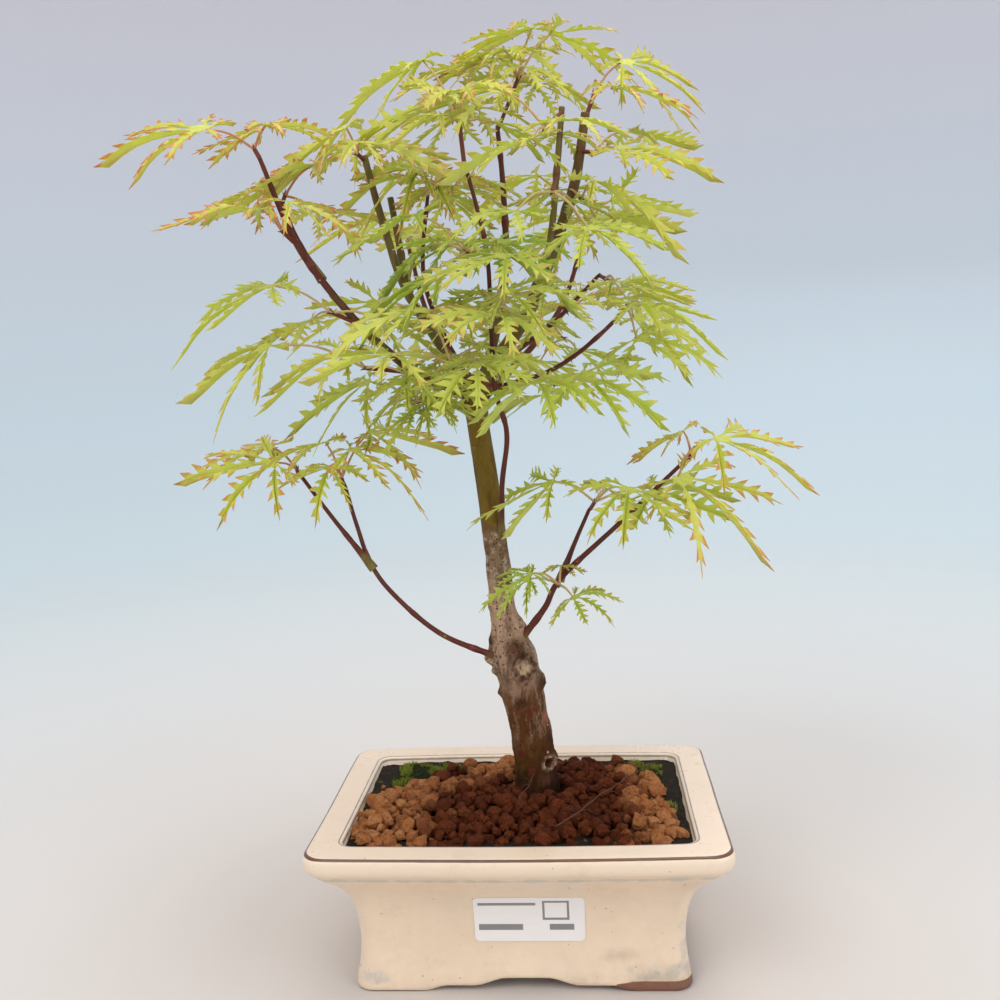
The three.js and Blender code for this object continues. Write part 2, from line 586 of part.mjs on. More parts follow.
function growPiece(name, make, finish) {
  const raw = make(0);
  const near = grown.filter((other) => touching(raw, other));
  const cut = near.length ? largestBody(raw.subtract(join(near)).simplify(MESH_TOLERANCE)) : raw;
  place(name, cut, finish);
  grown.push(make(CLEARANCE));
}

growPiece("trunk", trunkSolid, "bark");
for (const [name, stem] of Object.entries(STEMS)) {
  growPiece(name, (grow) => stemSolid(stem, grow), "twig");
}
for (const [name, spray] of Object.entries(SPRAYS)) {
  growPiece(name, (grow) => spraySolid(spray, grow), "leaf");
}

const box = new THREE.Box3().setFromObject(tree);
const centre = box.getCenter(new THREE.Vector3());
tree.position.set(-centre.x, -centre.y, -box.min.z);

export default tree;
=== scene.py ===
"""A lace-leaf maple bonsai in a glazed stoneware pot, modelled over its packed frame."""

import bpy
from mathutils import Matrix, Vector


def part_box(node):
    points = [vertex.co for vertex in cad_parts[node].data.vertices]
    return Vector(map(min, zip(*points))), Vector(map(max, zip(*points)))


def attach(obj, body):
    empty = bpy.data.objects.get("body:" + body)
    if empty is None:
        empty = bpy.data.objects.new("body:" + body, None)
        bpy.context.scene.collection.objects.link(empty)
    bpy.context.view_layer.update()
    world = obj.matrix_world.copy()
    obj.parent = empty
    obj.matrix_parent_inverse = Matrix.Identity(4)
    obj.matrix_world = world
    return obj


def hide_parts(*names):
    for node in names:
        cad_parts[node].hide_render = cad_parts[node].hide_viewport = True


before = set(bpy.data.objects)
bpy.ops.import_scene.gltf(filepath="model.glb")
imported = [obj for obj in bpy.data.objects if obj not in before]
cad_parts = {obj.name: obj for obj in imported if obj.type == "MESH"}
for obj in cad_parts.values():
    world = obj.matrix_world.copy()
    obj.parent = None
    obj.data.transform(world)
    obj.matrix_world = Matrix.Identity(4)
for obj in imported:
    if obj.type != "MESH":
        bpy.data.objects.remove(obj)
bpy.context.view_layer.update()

import math
import random

import bmesh
import bpy
from mathutils import Matrix, Vector, noise

bl_info = {
    "name": "Potted maple bonsai",
    "version": (1, 0, 0),
    "blender": (4, 5, 0),
    "location": "3D View > Sidebar > Bonsai",
    "description": "Models a lace-leaf maple bonsai in a footed glazed pot",
    "category": "Object",
}

MM = 0.001
# A whole turn and a third of one, in radians.
TURN, THIRD_TURN = 6.28, 2.094


def corners(node):
    """Both corners of a CAD node's box."""
    low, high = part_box(node)
    return Vector(low), Vector(high)


POT_LOW, POT_HIGH = corners("pot")
MIDDLE = Vector(((POT_LOW.x + POT_HIGH.x) / 2, (POT_LOW.y + POT_HIGH.y) / 2, 0))
HALF_WIDTH = (POT_HIGH.x - POT_LOW.x) / 2 / MM
HALF_DEPTH = (POT_HIGH.y - POT_LOW.y) / 2 / MM
RIM_TOP = POT_HIGH.z / MM
SOIL_TOP = corners("soil")[1].z / MM


def at(x, y, z):
    """A point of the tree's plan, in millimetres from the middle of the pot's foot."""
    return MIDDLE + Vector((x, y, z)) * MM


# ------------------------------------------------------------------ the tree's plan
# Trunk: x, y, z and radius, in millimetres.
TRUNK = [
    (8, 2, 50, 13.2), (7, 2, 60, 11.8), (7, 2, 72, 10.4), (6, 2, 90, 9.4), (4, 2, 108, 9.2),
    (1, 2, 122, 9.7), (-1, 2, 134, 10.2), (-4, 3, 146, 7.9), (-6, 3, 160, 6.0),
    (-8, 4, 186, 5.5), (-11, 4, 218, 5.2), (-14, 5, 244, 5.1), (-15, 5, 258, 5.8),
    (-15, 5, 266, 5.2),
]
# Marks on the trunk: angle round it (270 faces front), height, radius and how far it stands
# out, in degrees and millimetres, and the kind of mark.
TRUNK_MARKS = [
    (294, 132, 5.6, 1.3, "scar"),
    (286, 140, 5.6, 1.8, "crust"),
    (340, 149, 3.4, 2.2, "burl"),
    (196, 137, 3.0, 1.6, "burl"),
    (180, 139, 4.4, 3.6, "burl"),
    (206, 146, 2.8, 1.8, "crust"),
    (188, 131, 2.4, 2.4, "burl"),
    (186, 121, 1.8, 1.8, "crust"),
    (352, 125, 3.0, 2.6, "burl"),
    (349, 121, 2.6, 2.4, "crust"),
    (286, 112, 2.6, 0.6, "bruise"),
    (268, 116, 4.0, 0.5, "crust"),
    (340, 106, 3.0, -0.3, "pink"),
    (274, 95, 1.7, 1.6, "burl"),
    (268, 103, 1.3, 1.1, "burl"),
    (222, 104, 1.6, 0.9, "burl"),
    (312, 86, 2.6, 1.9, "ring"),
    (336, 88, 3.2, 3.0, "crust"),
    (300, 78, 3.6, 0.9, "crust"),
    (236, 92, 2.0, 0.5, "bruise"),
    (262, 83, 2.2, 0.5, "bruise"),
    (300, 76, 1.4, 0.8, "burl"),
    (225, 161, 3.0, 1.3, "burl"),
    (40, 150, 4.0, 1.8, "burl"),
    (120, 118, 4.2, 1.4, "scar"),
    (80, 92, 2.6, 1.4, "ring"),
    (262, 197, 5.5, 0.35, "burl"),
]
# Stems: the line's points, the radius at both ends, how green the bark is (0 red, 1 olive)
# and whether the end is a pruning cut.
STEMS = {
    "low_left_limb": ([(-2, 2, 133), (-14, -3, 139), (-34, -9, 150), (-52, -12, 167),
                       (-63, -14, 183), (-70, -11, 203), (-75, -8, 221)], 1.41, 0.9, 0.15, False),
    "low_left_shoot": ([(-62, -15, 182), (-79, -15, 205), (-94, -13, 226)], 1.15, 0.85, 0.0, False),
    "low_right_limb": ([(-3, 3, 139), (5, 0, 148), (14, -3, 160), (22, -5, 174), (49, -9, 199),
                        (81, -7, 228)], 1.63, 0.85, 0.05, False),
    "low_right_shoot": ([(21, -4, 172), (28, 0, 188), (36, 2, 205)], 1.15, 0.85, 0.0, False),
    "side_limb": ([(-8, 4, 189), (-5, -1, 197), (-3, -10, 219), (0, -12, 241), (-4, -18, 262),
                   (-4, -24, 299), (-5, -28, 323), (-12, -30, 355)], 1.33, 0.85, 0.1, False),
    "left_limb": ([(-15, 3, 257), (-29, -6, 264), (-43, -12, 272), (-61, -20, 290),
                   (-78, -26, 313), (-87, -30, 330), (-98, -34, 363)], 2.59, 0.9, 0.25, False),
    "left_limb_shoot": ([(-76, -24, 310), (-86, -18, 326), (-95, -14, 346)], 1.18, 0.85, 0.0,
                        False),
    "left_mid_limb": ([(-16, 8, 260), (-30, 4, 281), (-44, 0, 307), (-50, -3, 328),
                       (-54, -5, 345), (-58, -7, 364)], 2.29, 1.48, 0.75, True),
    "left_mid_stub": ([(-43, 1, 305), (-47, 8, 328), (-50, 9, 348)], 1.55, 1.48, 0.8, True),
    "dark_shoot": ([(-16, 9, 260), (-28, 16, 283), (-38, 20, 314), (-34, 24, 357)], 1.33, 0.85,
                   0.0, False),
    "centre_back_limb": ([(-13, 9, 260), (-6, 19, 283), (0, 26, 315), (0, 32, 352),
                          (-2, 36, 383)], 2.44, 1.07, 0.3, False),
    "right_main_limb": ([(-12, 3, 260), (0, 0, 278), (12, -3, 295), (21, -5, 315), (33, -3, 347),
                         (39, -1, 378)], 3.63, 1.97, 0.55, True),
    "right_front_limb": ([(13, -4, 299), (22, -16, 323), (26, -18, 352), (29, -20, 377)], 1.55,
                         1.31, 0.7, True),
    "right_spread": ([(-4, 3, 272), (18, 13, 286), (32, 18, 299), (44, 22, 311)], 1.41, 0.85, 0.1,
                     False),
    "right_low_shoot": ([(-12, 2, 259), (16, -13, 266), (30, -15, 273), (42, -17, 282),
                         (53, -17, 292)], 1.26, 0.85, 0.1, False),
    "back_left_limb": ([(-15, 9, 258), (-28, 32, 276), (-42, 52, 300), (-50, 62, 330)], 2, 0.9,
                       0.3, False),
    "back_right_limb": ([(-11, 9, 258), (8, 34, 276), (26, 54, 300), (38, 64, 334)], 2, 0.9,
                        0.3, False),
}
# Leafy shoots: where each leaves its stem, its end bud, how red its leaves are and how deep
# their green is (0 to 1; for inner and lower shoots partly their own darker green and partly
# painted shade), and its leaves as x, y, z, heading and length of the middle lobe.
SHOOTS = {
    "spray_left_tip": ((-97, -34, 360), (-99, -34, 364), 0.85, 0.0, [
        (-117, -40, 372, 186, 50), (-96, -27, 374, 150, 34), (-92, -40, 372, 350, 30)]),
    "spray_left_crest": ((-58, -7, 362), (-60, -12, 364), 0.6, 0.0, [
        (-64, -14, 375, 168, 46), (-56, -26, 366, 338, 44)]),
    "spray_left_shoot": ((-94, -14, 344), (-93, -12, 348), 0.75, 0.0, [
        (-78, -20, 359, 178, 46), (-82, -4, 342, 60, 40)]),
    "spray_left_mid": ((-86, -30, 326), (-89, -36, 330), 0.7, 0.05, [
        (-95, -44, 338, 196, 46), (-84, -40, 341, 318, 32), (-101, -26, 350, 176, 34)]),
    "spray_left_inner": ((-62, -21, 291), (-72, -26, 296), 0.25, 0.2, [
        (-95, -33, 308, 200, 46), (-84, -14, 294, 160, 40)]),
    "spray_left_lower": ((-40, -12, 269), (-58, -32, 272), 0.2, 0.15, [
        (-98, -34, 283, 192, 44), (-64, -44, 280, 208, 43)]),
    "spray_left_under": ((-24, -4, 259), (-40, -14, 256), 0.15, 0.35, [
        (-60, -14, 266, 188, 40), (-32, -28, 257, 232, 26)]),
    "spray_front_left": ((-6, -18, 262), (-20, -40, 272), 0.2, 0.3, [
        (-28, -52, 294, 212, 46), (-42, -60, 277, 230, 46), (-8, -58, 272, 285, 40)]),
    "spray_front": ((-4, -24, 296), (0, -48, 294), 0.2, 0.35, [
        (3, -64, 290, 248, 42), (6, -66, 313, 236, 40)]),
    "spray_centre": ((-5, -28, 320), (-12, -34, 318), 0.1, 0.8, [
        (-20, -46, 309, 192, 46), (-32, -38, 334, 206, 42)]),
    "spray_inner_left": ((-35, 23, 350), (-34, 18, 354), 0.4, 0.2, [
        (-34, -2, 358, 214, 40), (-42, 26, 366, 140, 44)]),
    "spray_top": ((-2, 36, 380), (10, 6, 396), 0.35, 0.0, [
        (17, -6, 413, 172, 42), (25, 6, 414, 8, 44), (12, 20, 411, 100, 44)]),
    "spray_top_right": ((39, -1, 376), (43, 0, 386), 0.6, 0.0, [
        (56, 8, 401, 350, 42), (50, -14, 386, 330, 42)]),
    "spray_top_left": ((-12, -30, 353), (-14, -24, 372), 0.35, 0.0, [
        (-29, -16, 400, 186, 42), (-8, -2, 401, 176, 40), (-26, 6, 388, 156, 46)]),
    "spray_top_front": ((29, -20, 375), (22, -34, 366), 0.4, 0.1, [
        (17, -50, 359, 192, 40), (4, -30, 383, 190, 38), (32, -46, 366, 290, 34)]),
    "spray_right_upper": ((36, -2, 362), (42, -8, 360), 0.4, 0.05, [
        (52, -16, 360, 346, 45), (58, 14, 372, 24, 41)]),
    "spray_right_crest": ((33, -4, 344), (36, -14, 340), 0.3, 0.1, [
        (41, -24, 346, 342, 43), (42, -6, 333, 330, 43)]),
    "spray_front_right": ((26, -18, 350), (24, -38, 340), 0.2, 0.35, [
        (10, -60, 330, 236, 34), (38, -48, 324, 304, 42)]),
    "spray_right_mid": ((44, 22, 310), (46, 14, 308), 0.35, 0.15, [
        (50, -6, 305, 338, 43), (56, 32, 300, 30, 42)]),
    "spray_right_low": ((52, -17, 291), (54, -20, 294), 0.3, 0.2, [
        (58, -32, 294, 322, 40), (58, -12, 280, 332, 43), (58, 6, 290, 8, 37)]),
    "spray_right_under": ((18, -13, 267), (22, -26, 262), 0.15, 0.45, [
        (34, -34, 266, 326, 48), (15, -52, 264, 282, 44)]),
    "spray_right_back": ((18, 13, 285), (26, 26, 282), 0.3, 0.3, [
        (32, 38, 277, 28, 42), (14, 46, 272, 104, 44)]),
    "spray_back_left": ((-50, 62, 328), (-51, 64, 334), 0.45, 0.1, [
        (-62, 62, 346, 168, 48), (-44, 76, 342, 106, 46), (-30, 58, 354, 40, 40)]),
    "spray_back_mid": ((-42, 51, 298), (-46, 54, 298), 0.35, 0.2, [
        (-66, 54, 304, 176, 48), (-44, 72, 296, 116, 46), (-16, 66, 300, 80, 44)]),
    "spray_back_right": ((38, 64, 332), (38, 65, 338), 0.45, 0.1, [
        (52, 64, 350, 12, 46), (30, 78, 344, 84, 46), (16, 56, 362, 140, 42)]),
    "spray_back_low": ((26, 53, 298), (28, 56, 296), 0.35, 0.2, [
        (52, 58, 306, 16, 48), (28, 74, 300, 70, 46)]),
    "spray_low_right_tip": ((80, -7, 226), (81, -7, 230), 0.65, 0.0, [
        (92, -8, 235, 346, 50), (79, 4, 238, 146, 30), (74, -22, 220, 322, 50)]),
    "spray_low_right_mid": ((36, 2, 204), (38, -4, 208), 0.2, 0.3, [
        (52, -32, 217, 268, 44), (63, -6, 212, 322, 44), (20, -16, 219, 188, 42)]),
    "spray_low_right_base": ((20, -5, 170), (21, -12, 172), 0.3, 0.75, [
        (22, -14, 181, 70, 17), (27, -20, 168, 318, 26), (8, -16, 176, 178, 26)]),
    "spray_low_left": ((-75, -8, 219), (-76, -8, 223), 0.55, 0.05, [
        (-80, -18, 240, 168, 38), (-64, 2, 243, 8, 46), (-68, -24, 237, 348, 38)]),
    "spray_low_left_tip": ((-94, -13, 224), (-95, -13, 228), 0.65, 0.0, [
        (-102, -22, 232, 206, 48), (-110, -2, 238, 170, 38)]),
}
# Lobes of a leaf, as angle and share of the middle lobe's length.
LOBES = [(-112, 0.40), (-74, 0.68), (-37, 0.88), (0, 1.0), (37, 0.88), (74, 0.68), (112, 0.40)]
# How far a leaf hangs forward, in degrees, and how many shapes of leaf there are.
BLADE_TILT, LEAF_MODELS = 14, 8
# Where the teeth of a lobe begin and end, as shares of its length.
TEETH_FROM, TEETH_TO = 0.16, 0.87
# Outline of the heap of clay granules and of the moss pads, as shares of the bed's half sizes.
HEAP = [(-0.99, -0.96), (-0.28, -1.0), (0.43, -1.0), (0.93, -0.95), (0.93, -0.19),
        (0.88, 0.32), (0.64, 0.86), (0.11, 0.96), (-0.26, 0.9), (-0.51, 0.64), (-0.76, 0.36),
        (-0.97, 0.05)]
MOSS = {
    "moss_back_left": [(-0.88, 0.35), (-0.66, 0.56), (-0.43, 0.86), (-0.63, 0.97), (-0.90, 0.95)],
    "moss_back_right": [(0.74, 0.60), (0.88, 0.37), (0.94, 0.79), (0.85, 0.97), (0.71, 0.93)],
    "moss_front_right": [(0.90, -0.83), (0.97, -0.46), (0.97, -0.09), (0.90, -0.32)],
}
# Roots on the granules: how many side roots each has and the line it follows.
ROOTLETS = {
    "loose_rootlet": (5, [(16, -44, 72.5), (27, -35, 75.5), (38, -21, 78), (48, -6, 78.5),
                          (58, 10, 78), (66, 24, 76)]),
    "trunk_rootlet": (3, [(-1, -25, 74), (1, -20, 77.5), (4, -15, 80.5), (6, -12, 84)]),
}


# ------------------------------------------------------------------ sizes and colours
def colour(name, text, value):
    """A colour property with its default."""
    return bpy.props.FloatVectorProperty(
        name=name, description=text, default=value, size=3, min=0, max=1, subtype="COLOR")


def length(name, text, millimetres):
    """A length property with its default, given in millimetres."""
    return bpy.props.FloatProperty(
        name=name, description=text, default=millimetres * MM, min=0, unit="LENGTH",
        precision=5)


def share(name, text, value):
    """A property from 0 to 1 with its default."""
    return bpy.props.FloatProperty(
        name=name, description=text, default=value, min=0, max=1, subtype="FACTOR")


class BonsaiLeafSettings(bpy.types.PropertyGroup):
    """Sizes and colours of the leaves."""

    thickness: length("Thickness", "Thickness of a leaf blade", 0.28)
    lobe_width: share("Lobe width", "Half width of a lobe as a share of the leaf's length", 0.102)
    tooth_depth: share("Tooth depth", "How deep the teeth cut into a lobe", 0.74)
    droop: share("Droop", "Fall of the lobe tips as a share of the leaf's length", 0.25)
    fresh: colour("Fresh green", "Outer and upper leaves", (0.575, 0.595, 0.105))
    # The deep green of inner and lower leaves is partly their own darker green and partly painted
    # shade inside the crown.
    deep: colour("Deep green", "Inner and lower leaves", (0.27, 0.36, 0.05))
    margin: colour("Red margin", "Tips and margins of young leaves", (0.56, 0.15, 0.075))
    stalk: colour("Leaf stalk", "Stalks of the leaves", (0.62, 0.45, 0.2))


class BonsaiWoodSettings(bpy.types.PropertyGroup):
    """Colours of the bark."""

    old_bark: colour("Old bark", "Foot of the trunk", (0.105, 0.038, 0.011))
    grey_bark: colour("Grey bark", "Middle of the trunk", (0.56, 0.36, 0.235))
    green_bark: colour("Green bark", "Upper trunk", (0.2, 0.12, 0.018))
    red_bark: colour("Red bark", "Young shoots", (0.13, 0.024, 0.012))
    olive_bark: colour("Olive bark", "Older limbs", (0.19, 0.145, 0.03))
    cut_wood: colour("Cut wood", "Pruning cuts", (0.6, 0.42, 0.27))
    bark_depth: length("Bark depth", "Height of the bark's ridges", 0.35)


class BonsaiPotSettings(bpy.types.PropertyGroup):
    """Sizes and colours of the pot."""

    lip_height: length("Lip height", "Upright edge of the rim", 8)
    rim_width: length("Rim width", "Width of the flat rim", 15)
    rim_bow: length("Rim bow", "How far the long sides swell in their middle", 2.4)
    arch_height: length("Arch height", "Height of the cut between two feet", 6)
    glaze: colour("Glaze", "Body of the glaze", (0.84, 0.66, 0.485))
    rim_glaze: colour("Rim glaze", "Thicker glaze on the rim", (0.88, 0.7, 0.53))
    break_line: colour("Breaking edge", "Thin glaze on sharp edges", (0.11, 0.032, 0.014))
    clay: colour("Bare clay", "Unglazed foot", (0.17, 0.06, 0.035))


class BonsaiGroundSettings(bpy.types.PropertyGroup):
    """Sizes and colours of what fills the pot."""

    granule_size: length("Granule size", "Middle size of the clay granules", 6.5)
    mound_height: length("Mound height", "Height of the heap in its middle", 7.5)
    damp: colour("Damp clay", "Wet granules", (0.105, 0.023, 0.0075))
    dry: colour("Dry clay", "Dry granules", (0.43, 0.155, 0.052))
    soil: colour("Soil", "Dark potting soil", (0.016, 0.013, 0.01))
    moss: colour("Moss", "Live moss", (0.11, 0.155, 0.018))


GROUPS = {
    "bonsai_leaf": BonsaiLeafSettings,
    "bonsai_wood": BonsaiWoodSettings,
    "bonsai_pot": BonsaiPotSettings,
    "bonsai_ground": BonsaiGroundSettings,
}


# ------------------------------------------------------------------ number helpers
def within(value):
    """A value kept from 0 to 1."""
    return max(0.0, min(1.0, value))


def smoothstep(value, low, high):
    """A smooth step from 0 at low to 1 at high; low may be the greater."""
    t = within((value - low) / (high - low))
    return t * t * (3 - 2 * t)


# ------------------------------------------------------------------ mesh helpers
def select_only(*objects):
    """Leaves only these objects selected; the first one is active."""
    bpy.ops.object.select_all(action="DESELECT")
    for obj in objects:
        obj.select_set(True)
    bpy.context.view_layer.objects.active = objects[0]


def shade_smooth(obj, degrees):
    """Smooths the edges of an object that are blunter than an angle."""
    select_only(obj)
    bpy.ops.object.shade_smooth_by_angle(angle=math.radians(degrees))


def mesh_piece(name, points, faces, values, material, smooth=60):
    """A new mesh object at the origin, with a float attribute for each entry of values."""
    mesh = bpy.data.meshes.new(name)
    mesh.from_pydata([tuple(p) for p in points], [], faces)
    for key, numbers in (values or {}).items():
        mesh.attributes.new(key, "FLOAT", "POINT").data.foreach_set("value", numbers)
    mesh.update()
    obj = bpy.data.objects.new(name, mesh)
    bpy.context.scene.collection.objects.link(obj)
    mesh.materials.append(material)
    if smooth:
        shade_smooth(obj, smooth)
    return obj


def apply_modifier(obj, kind, **settings):
    """Adds one modifier and applies it."""
    select_only(obj)
    modifier = obj.modifiers.new(kind.title(), kind)
    for key, value in settings.items():
        setattr(modifier, key, value)
    bpy.ops.object.modifier_apply(modifier=modifier.name)


def join_pieces(name, objects):
    """Joins the objects into the first one and names it."""
    select_only(*objects)
    if len(objects) > 1:
        bpy.ops.object.join()
    objects[0].name = name
    objects[0].data.name = name
    return objects[0]


def recalculate_normals(obj):
    """Turns every face outwards."""
    select_only(obj)
    bpy.ops.object.mode_set(mode="EDIT")
    bpy.ops.mesh.select_all(action="SELECT")
    bpy.ops.mesh.normals_make_consistent(inside=False)
    bpy.ops.object.mode_set(mode="OBJECT")


def stands_for(obj, slot, *nodes):
    """Puts a finished piece on the frame in place of its CAD nodes."""
    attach(obj, "root")
    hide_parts(*nodes)


def between(a, b, c, d, t):
    """The point at t, from 0 to 1, on the smooth curve from b to c; a and d lie beyond them."""
    return 0.5 * (2 * b + (c - a) * t + (2 * a - 5 * b + 4 * c - d) * t * t
                  + (3 * b - a - 3 * c + d) * t ** 3)


def smooth_line(points, step):
    """Points about one step apart on a smooth line through the given ones."""
    p = [Vector(q) for q in points]
    p = [2 * p[0] - p[1], *p, 2 * p[-1] - p[-2]]
    line = []
    for i in range(1, len(p) - 2):
        count = max(2, round((p[i + 1] - p[i]).length / step))
        line += [between(*p[i - 1:i + 3], k / count) for k in range(count)]
    line.append(p[-2])
    return line


def shares_along(line):
    """How far along its length each point of a line lies, from 0 to 1."""
    lengths = [0.0]
    for a, b in zip(line, line[1:]):
        lengths.append(lengths[-1] + (b - a).length)
    return [value / lengths[-1] for value in lengths]


def ring_faces(rings, count):
    """Faces between rings of points that follow each other, each with the same count."""
    return [(k * count + i, k * count + (i + 1) % count, (k + 1) * count + (i + 1) % count,
             (k + 1) * count + i) for k in range(rings - 1) for i in range(count)]


def shifted(faces, base):
    """The same faces for points that start at a later number."""
    return [tuple(base + i for i in face) for face in faces]


def tube_shape(line, sides, radius_at):
    """Points and faces of a closed tube; radius_at(k, direction) is in metres."""
    points = []
    across = (line[1] - line[0]).orthogonal().normalized()
    for k, centre in enumerate(line):
        ahead = (line[min(k + 1, len(line) - 1)] - line[max(k - 1, 0)]).normalized()
        across = (across - ahead * across.dot(ahead)).normalized()
        beside = ahead.cross(across)
        for i in range(sides):
            angle = 2 * math.pi * i / sides
            direction = across * math.cos(angle) + beside * math.sin(angle)
            points.append(centre + direction * radius_at(k, direction))
    faces = ring_faces(len(line), sides)
    start, end = len(points), len(points) + 1
    points += [line[0], line[-1]]
    top = (len(line) - 1) * sides
    for i in range(sides):
        j = (i + 1) % sides
        faces += [(start, j, i), (end, top + i, top + j)]
    return points, faces


def closed_outline(shares, count):
    """Points of a smooth closed outline on the bed, in millimetres: count from each corner."""
    p = [Vector((x * BED_X, y * BED_Y)) for x, y in shares]
    n, out = len(p), []
    for i in range(n):
        around = (p[i - 1], p[i], p[(i + 1) % n], p[(i + 2) % n])
        out += [between(*around, k / count) for k in range(count)]
    return out


def inside_outline(outline, x, y):
    """Whether a point lies within a closed outline."""
    inside, j = False, len(outline) - 1
    for i, p in enumerate(outline):
        q = outline[j]
        if (p.y > y) != (q.y > y) and x < (q.x - p.x) * (y - p.y) / (q.y - p.y) + p.x:
            inside = not inside
        j = i
    return inside


def edge_distance(outline, x, y):
    """Distance from a point to the nearest point of an outline."""
    return min(math.hypot(p.x - x, p.y - y) for p in outline)


# ------------------------------------------------------------------ shader helpers
def add(tree, kind, inputs=None, **settings):
    """Adds a node; each input is a value or another node's output."""
    made = tree.nodes.new(kind)
    for key, value in settings.items():
        setattr(made, key, value)
    for key, value in (inputs or {}).items():
        if isinstance(value, bpy.types.NodeSocket):
            tree.links.new(value, made.inputs[key])
        else:
            made.inputs[key].default_value = value
    return made


def rgb(value):
    """A colour with full alpha."""
    return (*value[:3], 1.0)


def mix(tree, factor, a, b):
    """Colour output of a colour mix."""
    a, b = (v if isinstance(v, bpy.types.NodeSocket) else rgb(v) for v in (a, b))
    return add(tree, "ShaderNodeMix", {0: factor, 6: a, 7: b}, data_type="RGBA").outputs[2]


def calc(tree, operation, a, b=0.0, clamp=False):
    """Output of a math node."""
    made = add(tree, "ShaderNodeMath", {0: a, 1: b}, operation=operation, use_clamp=clamp)
    return made.outputs[0]


def times(tree, a, b):
    """Output of a product."""
    return calc(tree, "MULTIPLY", a, b)


def plus(tree, a, b, clamp=False):
    """Output of a sum."""
    return calc(tree, "ADD", a, b, clamp)


def lay(tree, mask, strength, body, over):
    """Lays a colour over the body where the mask is, at a share of the mask's strength."""
    return mix(tree, times(tree, mask, strength), body, over)


def colour_ramp(tree, factor, stops):
    """Colour output of a ramp with the given positions and colours."""
    ramp = add(tree, "ShaderNodeValToRGB", {"Fac": factor})
    made = ramp.color_ramp.elements
    for element, (position, value) in zip(made, (stops[0], stops[-1])):
        element.position, element.color = position, rgb(value)
    for position, value in stops[1:-1]:
        made.new(position).color = rgb(value)
    return ramp.outputs["Color"]


def fade(tree, value, low, high, start=0.0, end=1.0):
    """A smooth step from start at low to end at high."""
    made = add(tree, "ShaderNodeMapRange",
               {"Value": value, "From Min": low, "From Max": high, "To Min": start,
                "To Max": end}, interpolation_type="SMOOTHSTEP")
    return made.outputs["Result"]


def attribute(tree, name):
    """A float attribute of the mesh."""
    return add(tree, "ShaderNodeAttribute", attribute_name=name).outputs["Fac"]


def place(tree):
    """Object coordinates."""
    return add(tree, "ShaderNodeTexCoord").outputs["Object"]


def grain(tree, where, scale, detail=3.0, roughness=0.55):
    """A noise value."""
    made = add(tree, "ShaderNodeTexNoise",
               {"Vector": where, "Scale": scale, "Detail": detail, "Roughness": roughness})
    return made.outputs["Fac"]


def bumps(tree, height, distance, strength=1.0):
    """Normal output of a bump node; the distance is in metres."""
    return add(tree, "ShaderNodeBump", {"Height": height, "Distance": distance,
                                        "Strength": strength}).outputs["Normal"]


def new_group(name, inputs, outputs):
    """An empty shader node group with its input and output nodes."""
    group = bpy.data.node_groups.new(name, "ShaderNodeTree")
    for key, kind, default in inputs:
        socket = group.interface.new_socket(name=key, in_out="INPUT", socket_type=kind)
        if default is not None:
            socket.default_value = default
    for key, kind in outputs:
        group.interface.new_socket(name=key, in_out="OUTPUT", socket_type=kind)
    return group, group.nodes.new("NodeGroupInput"), group.nodes.new("NodeGroupOutput")


def speck_group():
    """Scattered specks: a mask from cells of which only some hold a dot."""
    group, given, out = new_group(
        "Scattered specks",
        [("Vector", "NodeSocketVector", None), ("Scale", "NodeSocketFloat", 400.0),
         ("Size", "NodeSocketFloat", 0.2), ("Share", "NodeSocketFloat", 0.3)],
        [("Mask", "NodeSocketFloat")])
    cells = add(group, "ShaderNodeTexVoronoi",
                {"Vector": given.outputs["Vector"], "Scale": given.outputs["Scale"]})
    tint = add(group, "ShaderNodeSeparateColor", {"Color": cells.outputs["Color"]})
    held = calc(group, "LESS_THAN", tint.outputs["Red"], given.outputs["Share"])
    size = calc(group, "MULTIPLY", given.outputs["Size"],
                calc(group, "ADD", tint.outputs["Green"], 0.35))
    dot = calc(group, "SUBTRACT", 1.0,
               calc(group, "DIVIDE", cells.outputs["Distance"], size), clamp=True)
    dot = calc(group, "MULTIPLY", dot, 3.0, clamp=True)
    group.links.new(calc(group, "MULTIPLY", dot, held), out.inputs["Mask"])
    return group


def mottle_group():
    """Two sizes of soft blotches as one mask."""
    group, given, out = new_group(
        "Soft mottle",
        [("Vector", "NodeSocketVector", None), ("Scale", "NodeSocketFloat", 60.0),
         ("Low", "NodeSocketFloat", 0.4), ("High", "NodeSocketFloat", 0.65)],
        [("Mask", "NodeSocketFloat"), ("Fine", "NodeSocketFloat")])
    wide = grain(group, given.outputs["Vector"], given.outputs["Scale"], 4.0, 0.6)
    finer = calc(group, "MULTIPLY", given.outputs["Scale"], 7.0)
    fine = grain(group, given.outputs["Vector"], finer, 3.0, 0.6)
    both = calc(group, "ADD", calc(group, "MULTIPLY", wide, 0.7),
                calc(group, "MULTIPLY", fine, 0.3))
    mask = fade(group, both, given.outputs["Low"], given.outputs["High"])
    group.links.new(mask, out.inputs["Mask"])
    group.links.new(fine, out.inputs["Fine"])
    return group


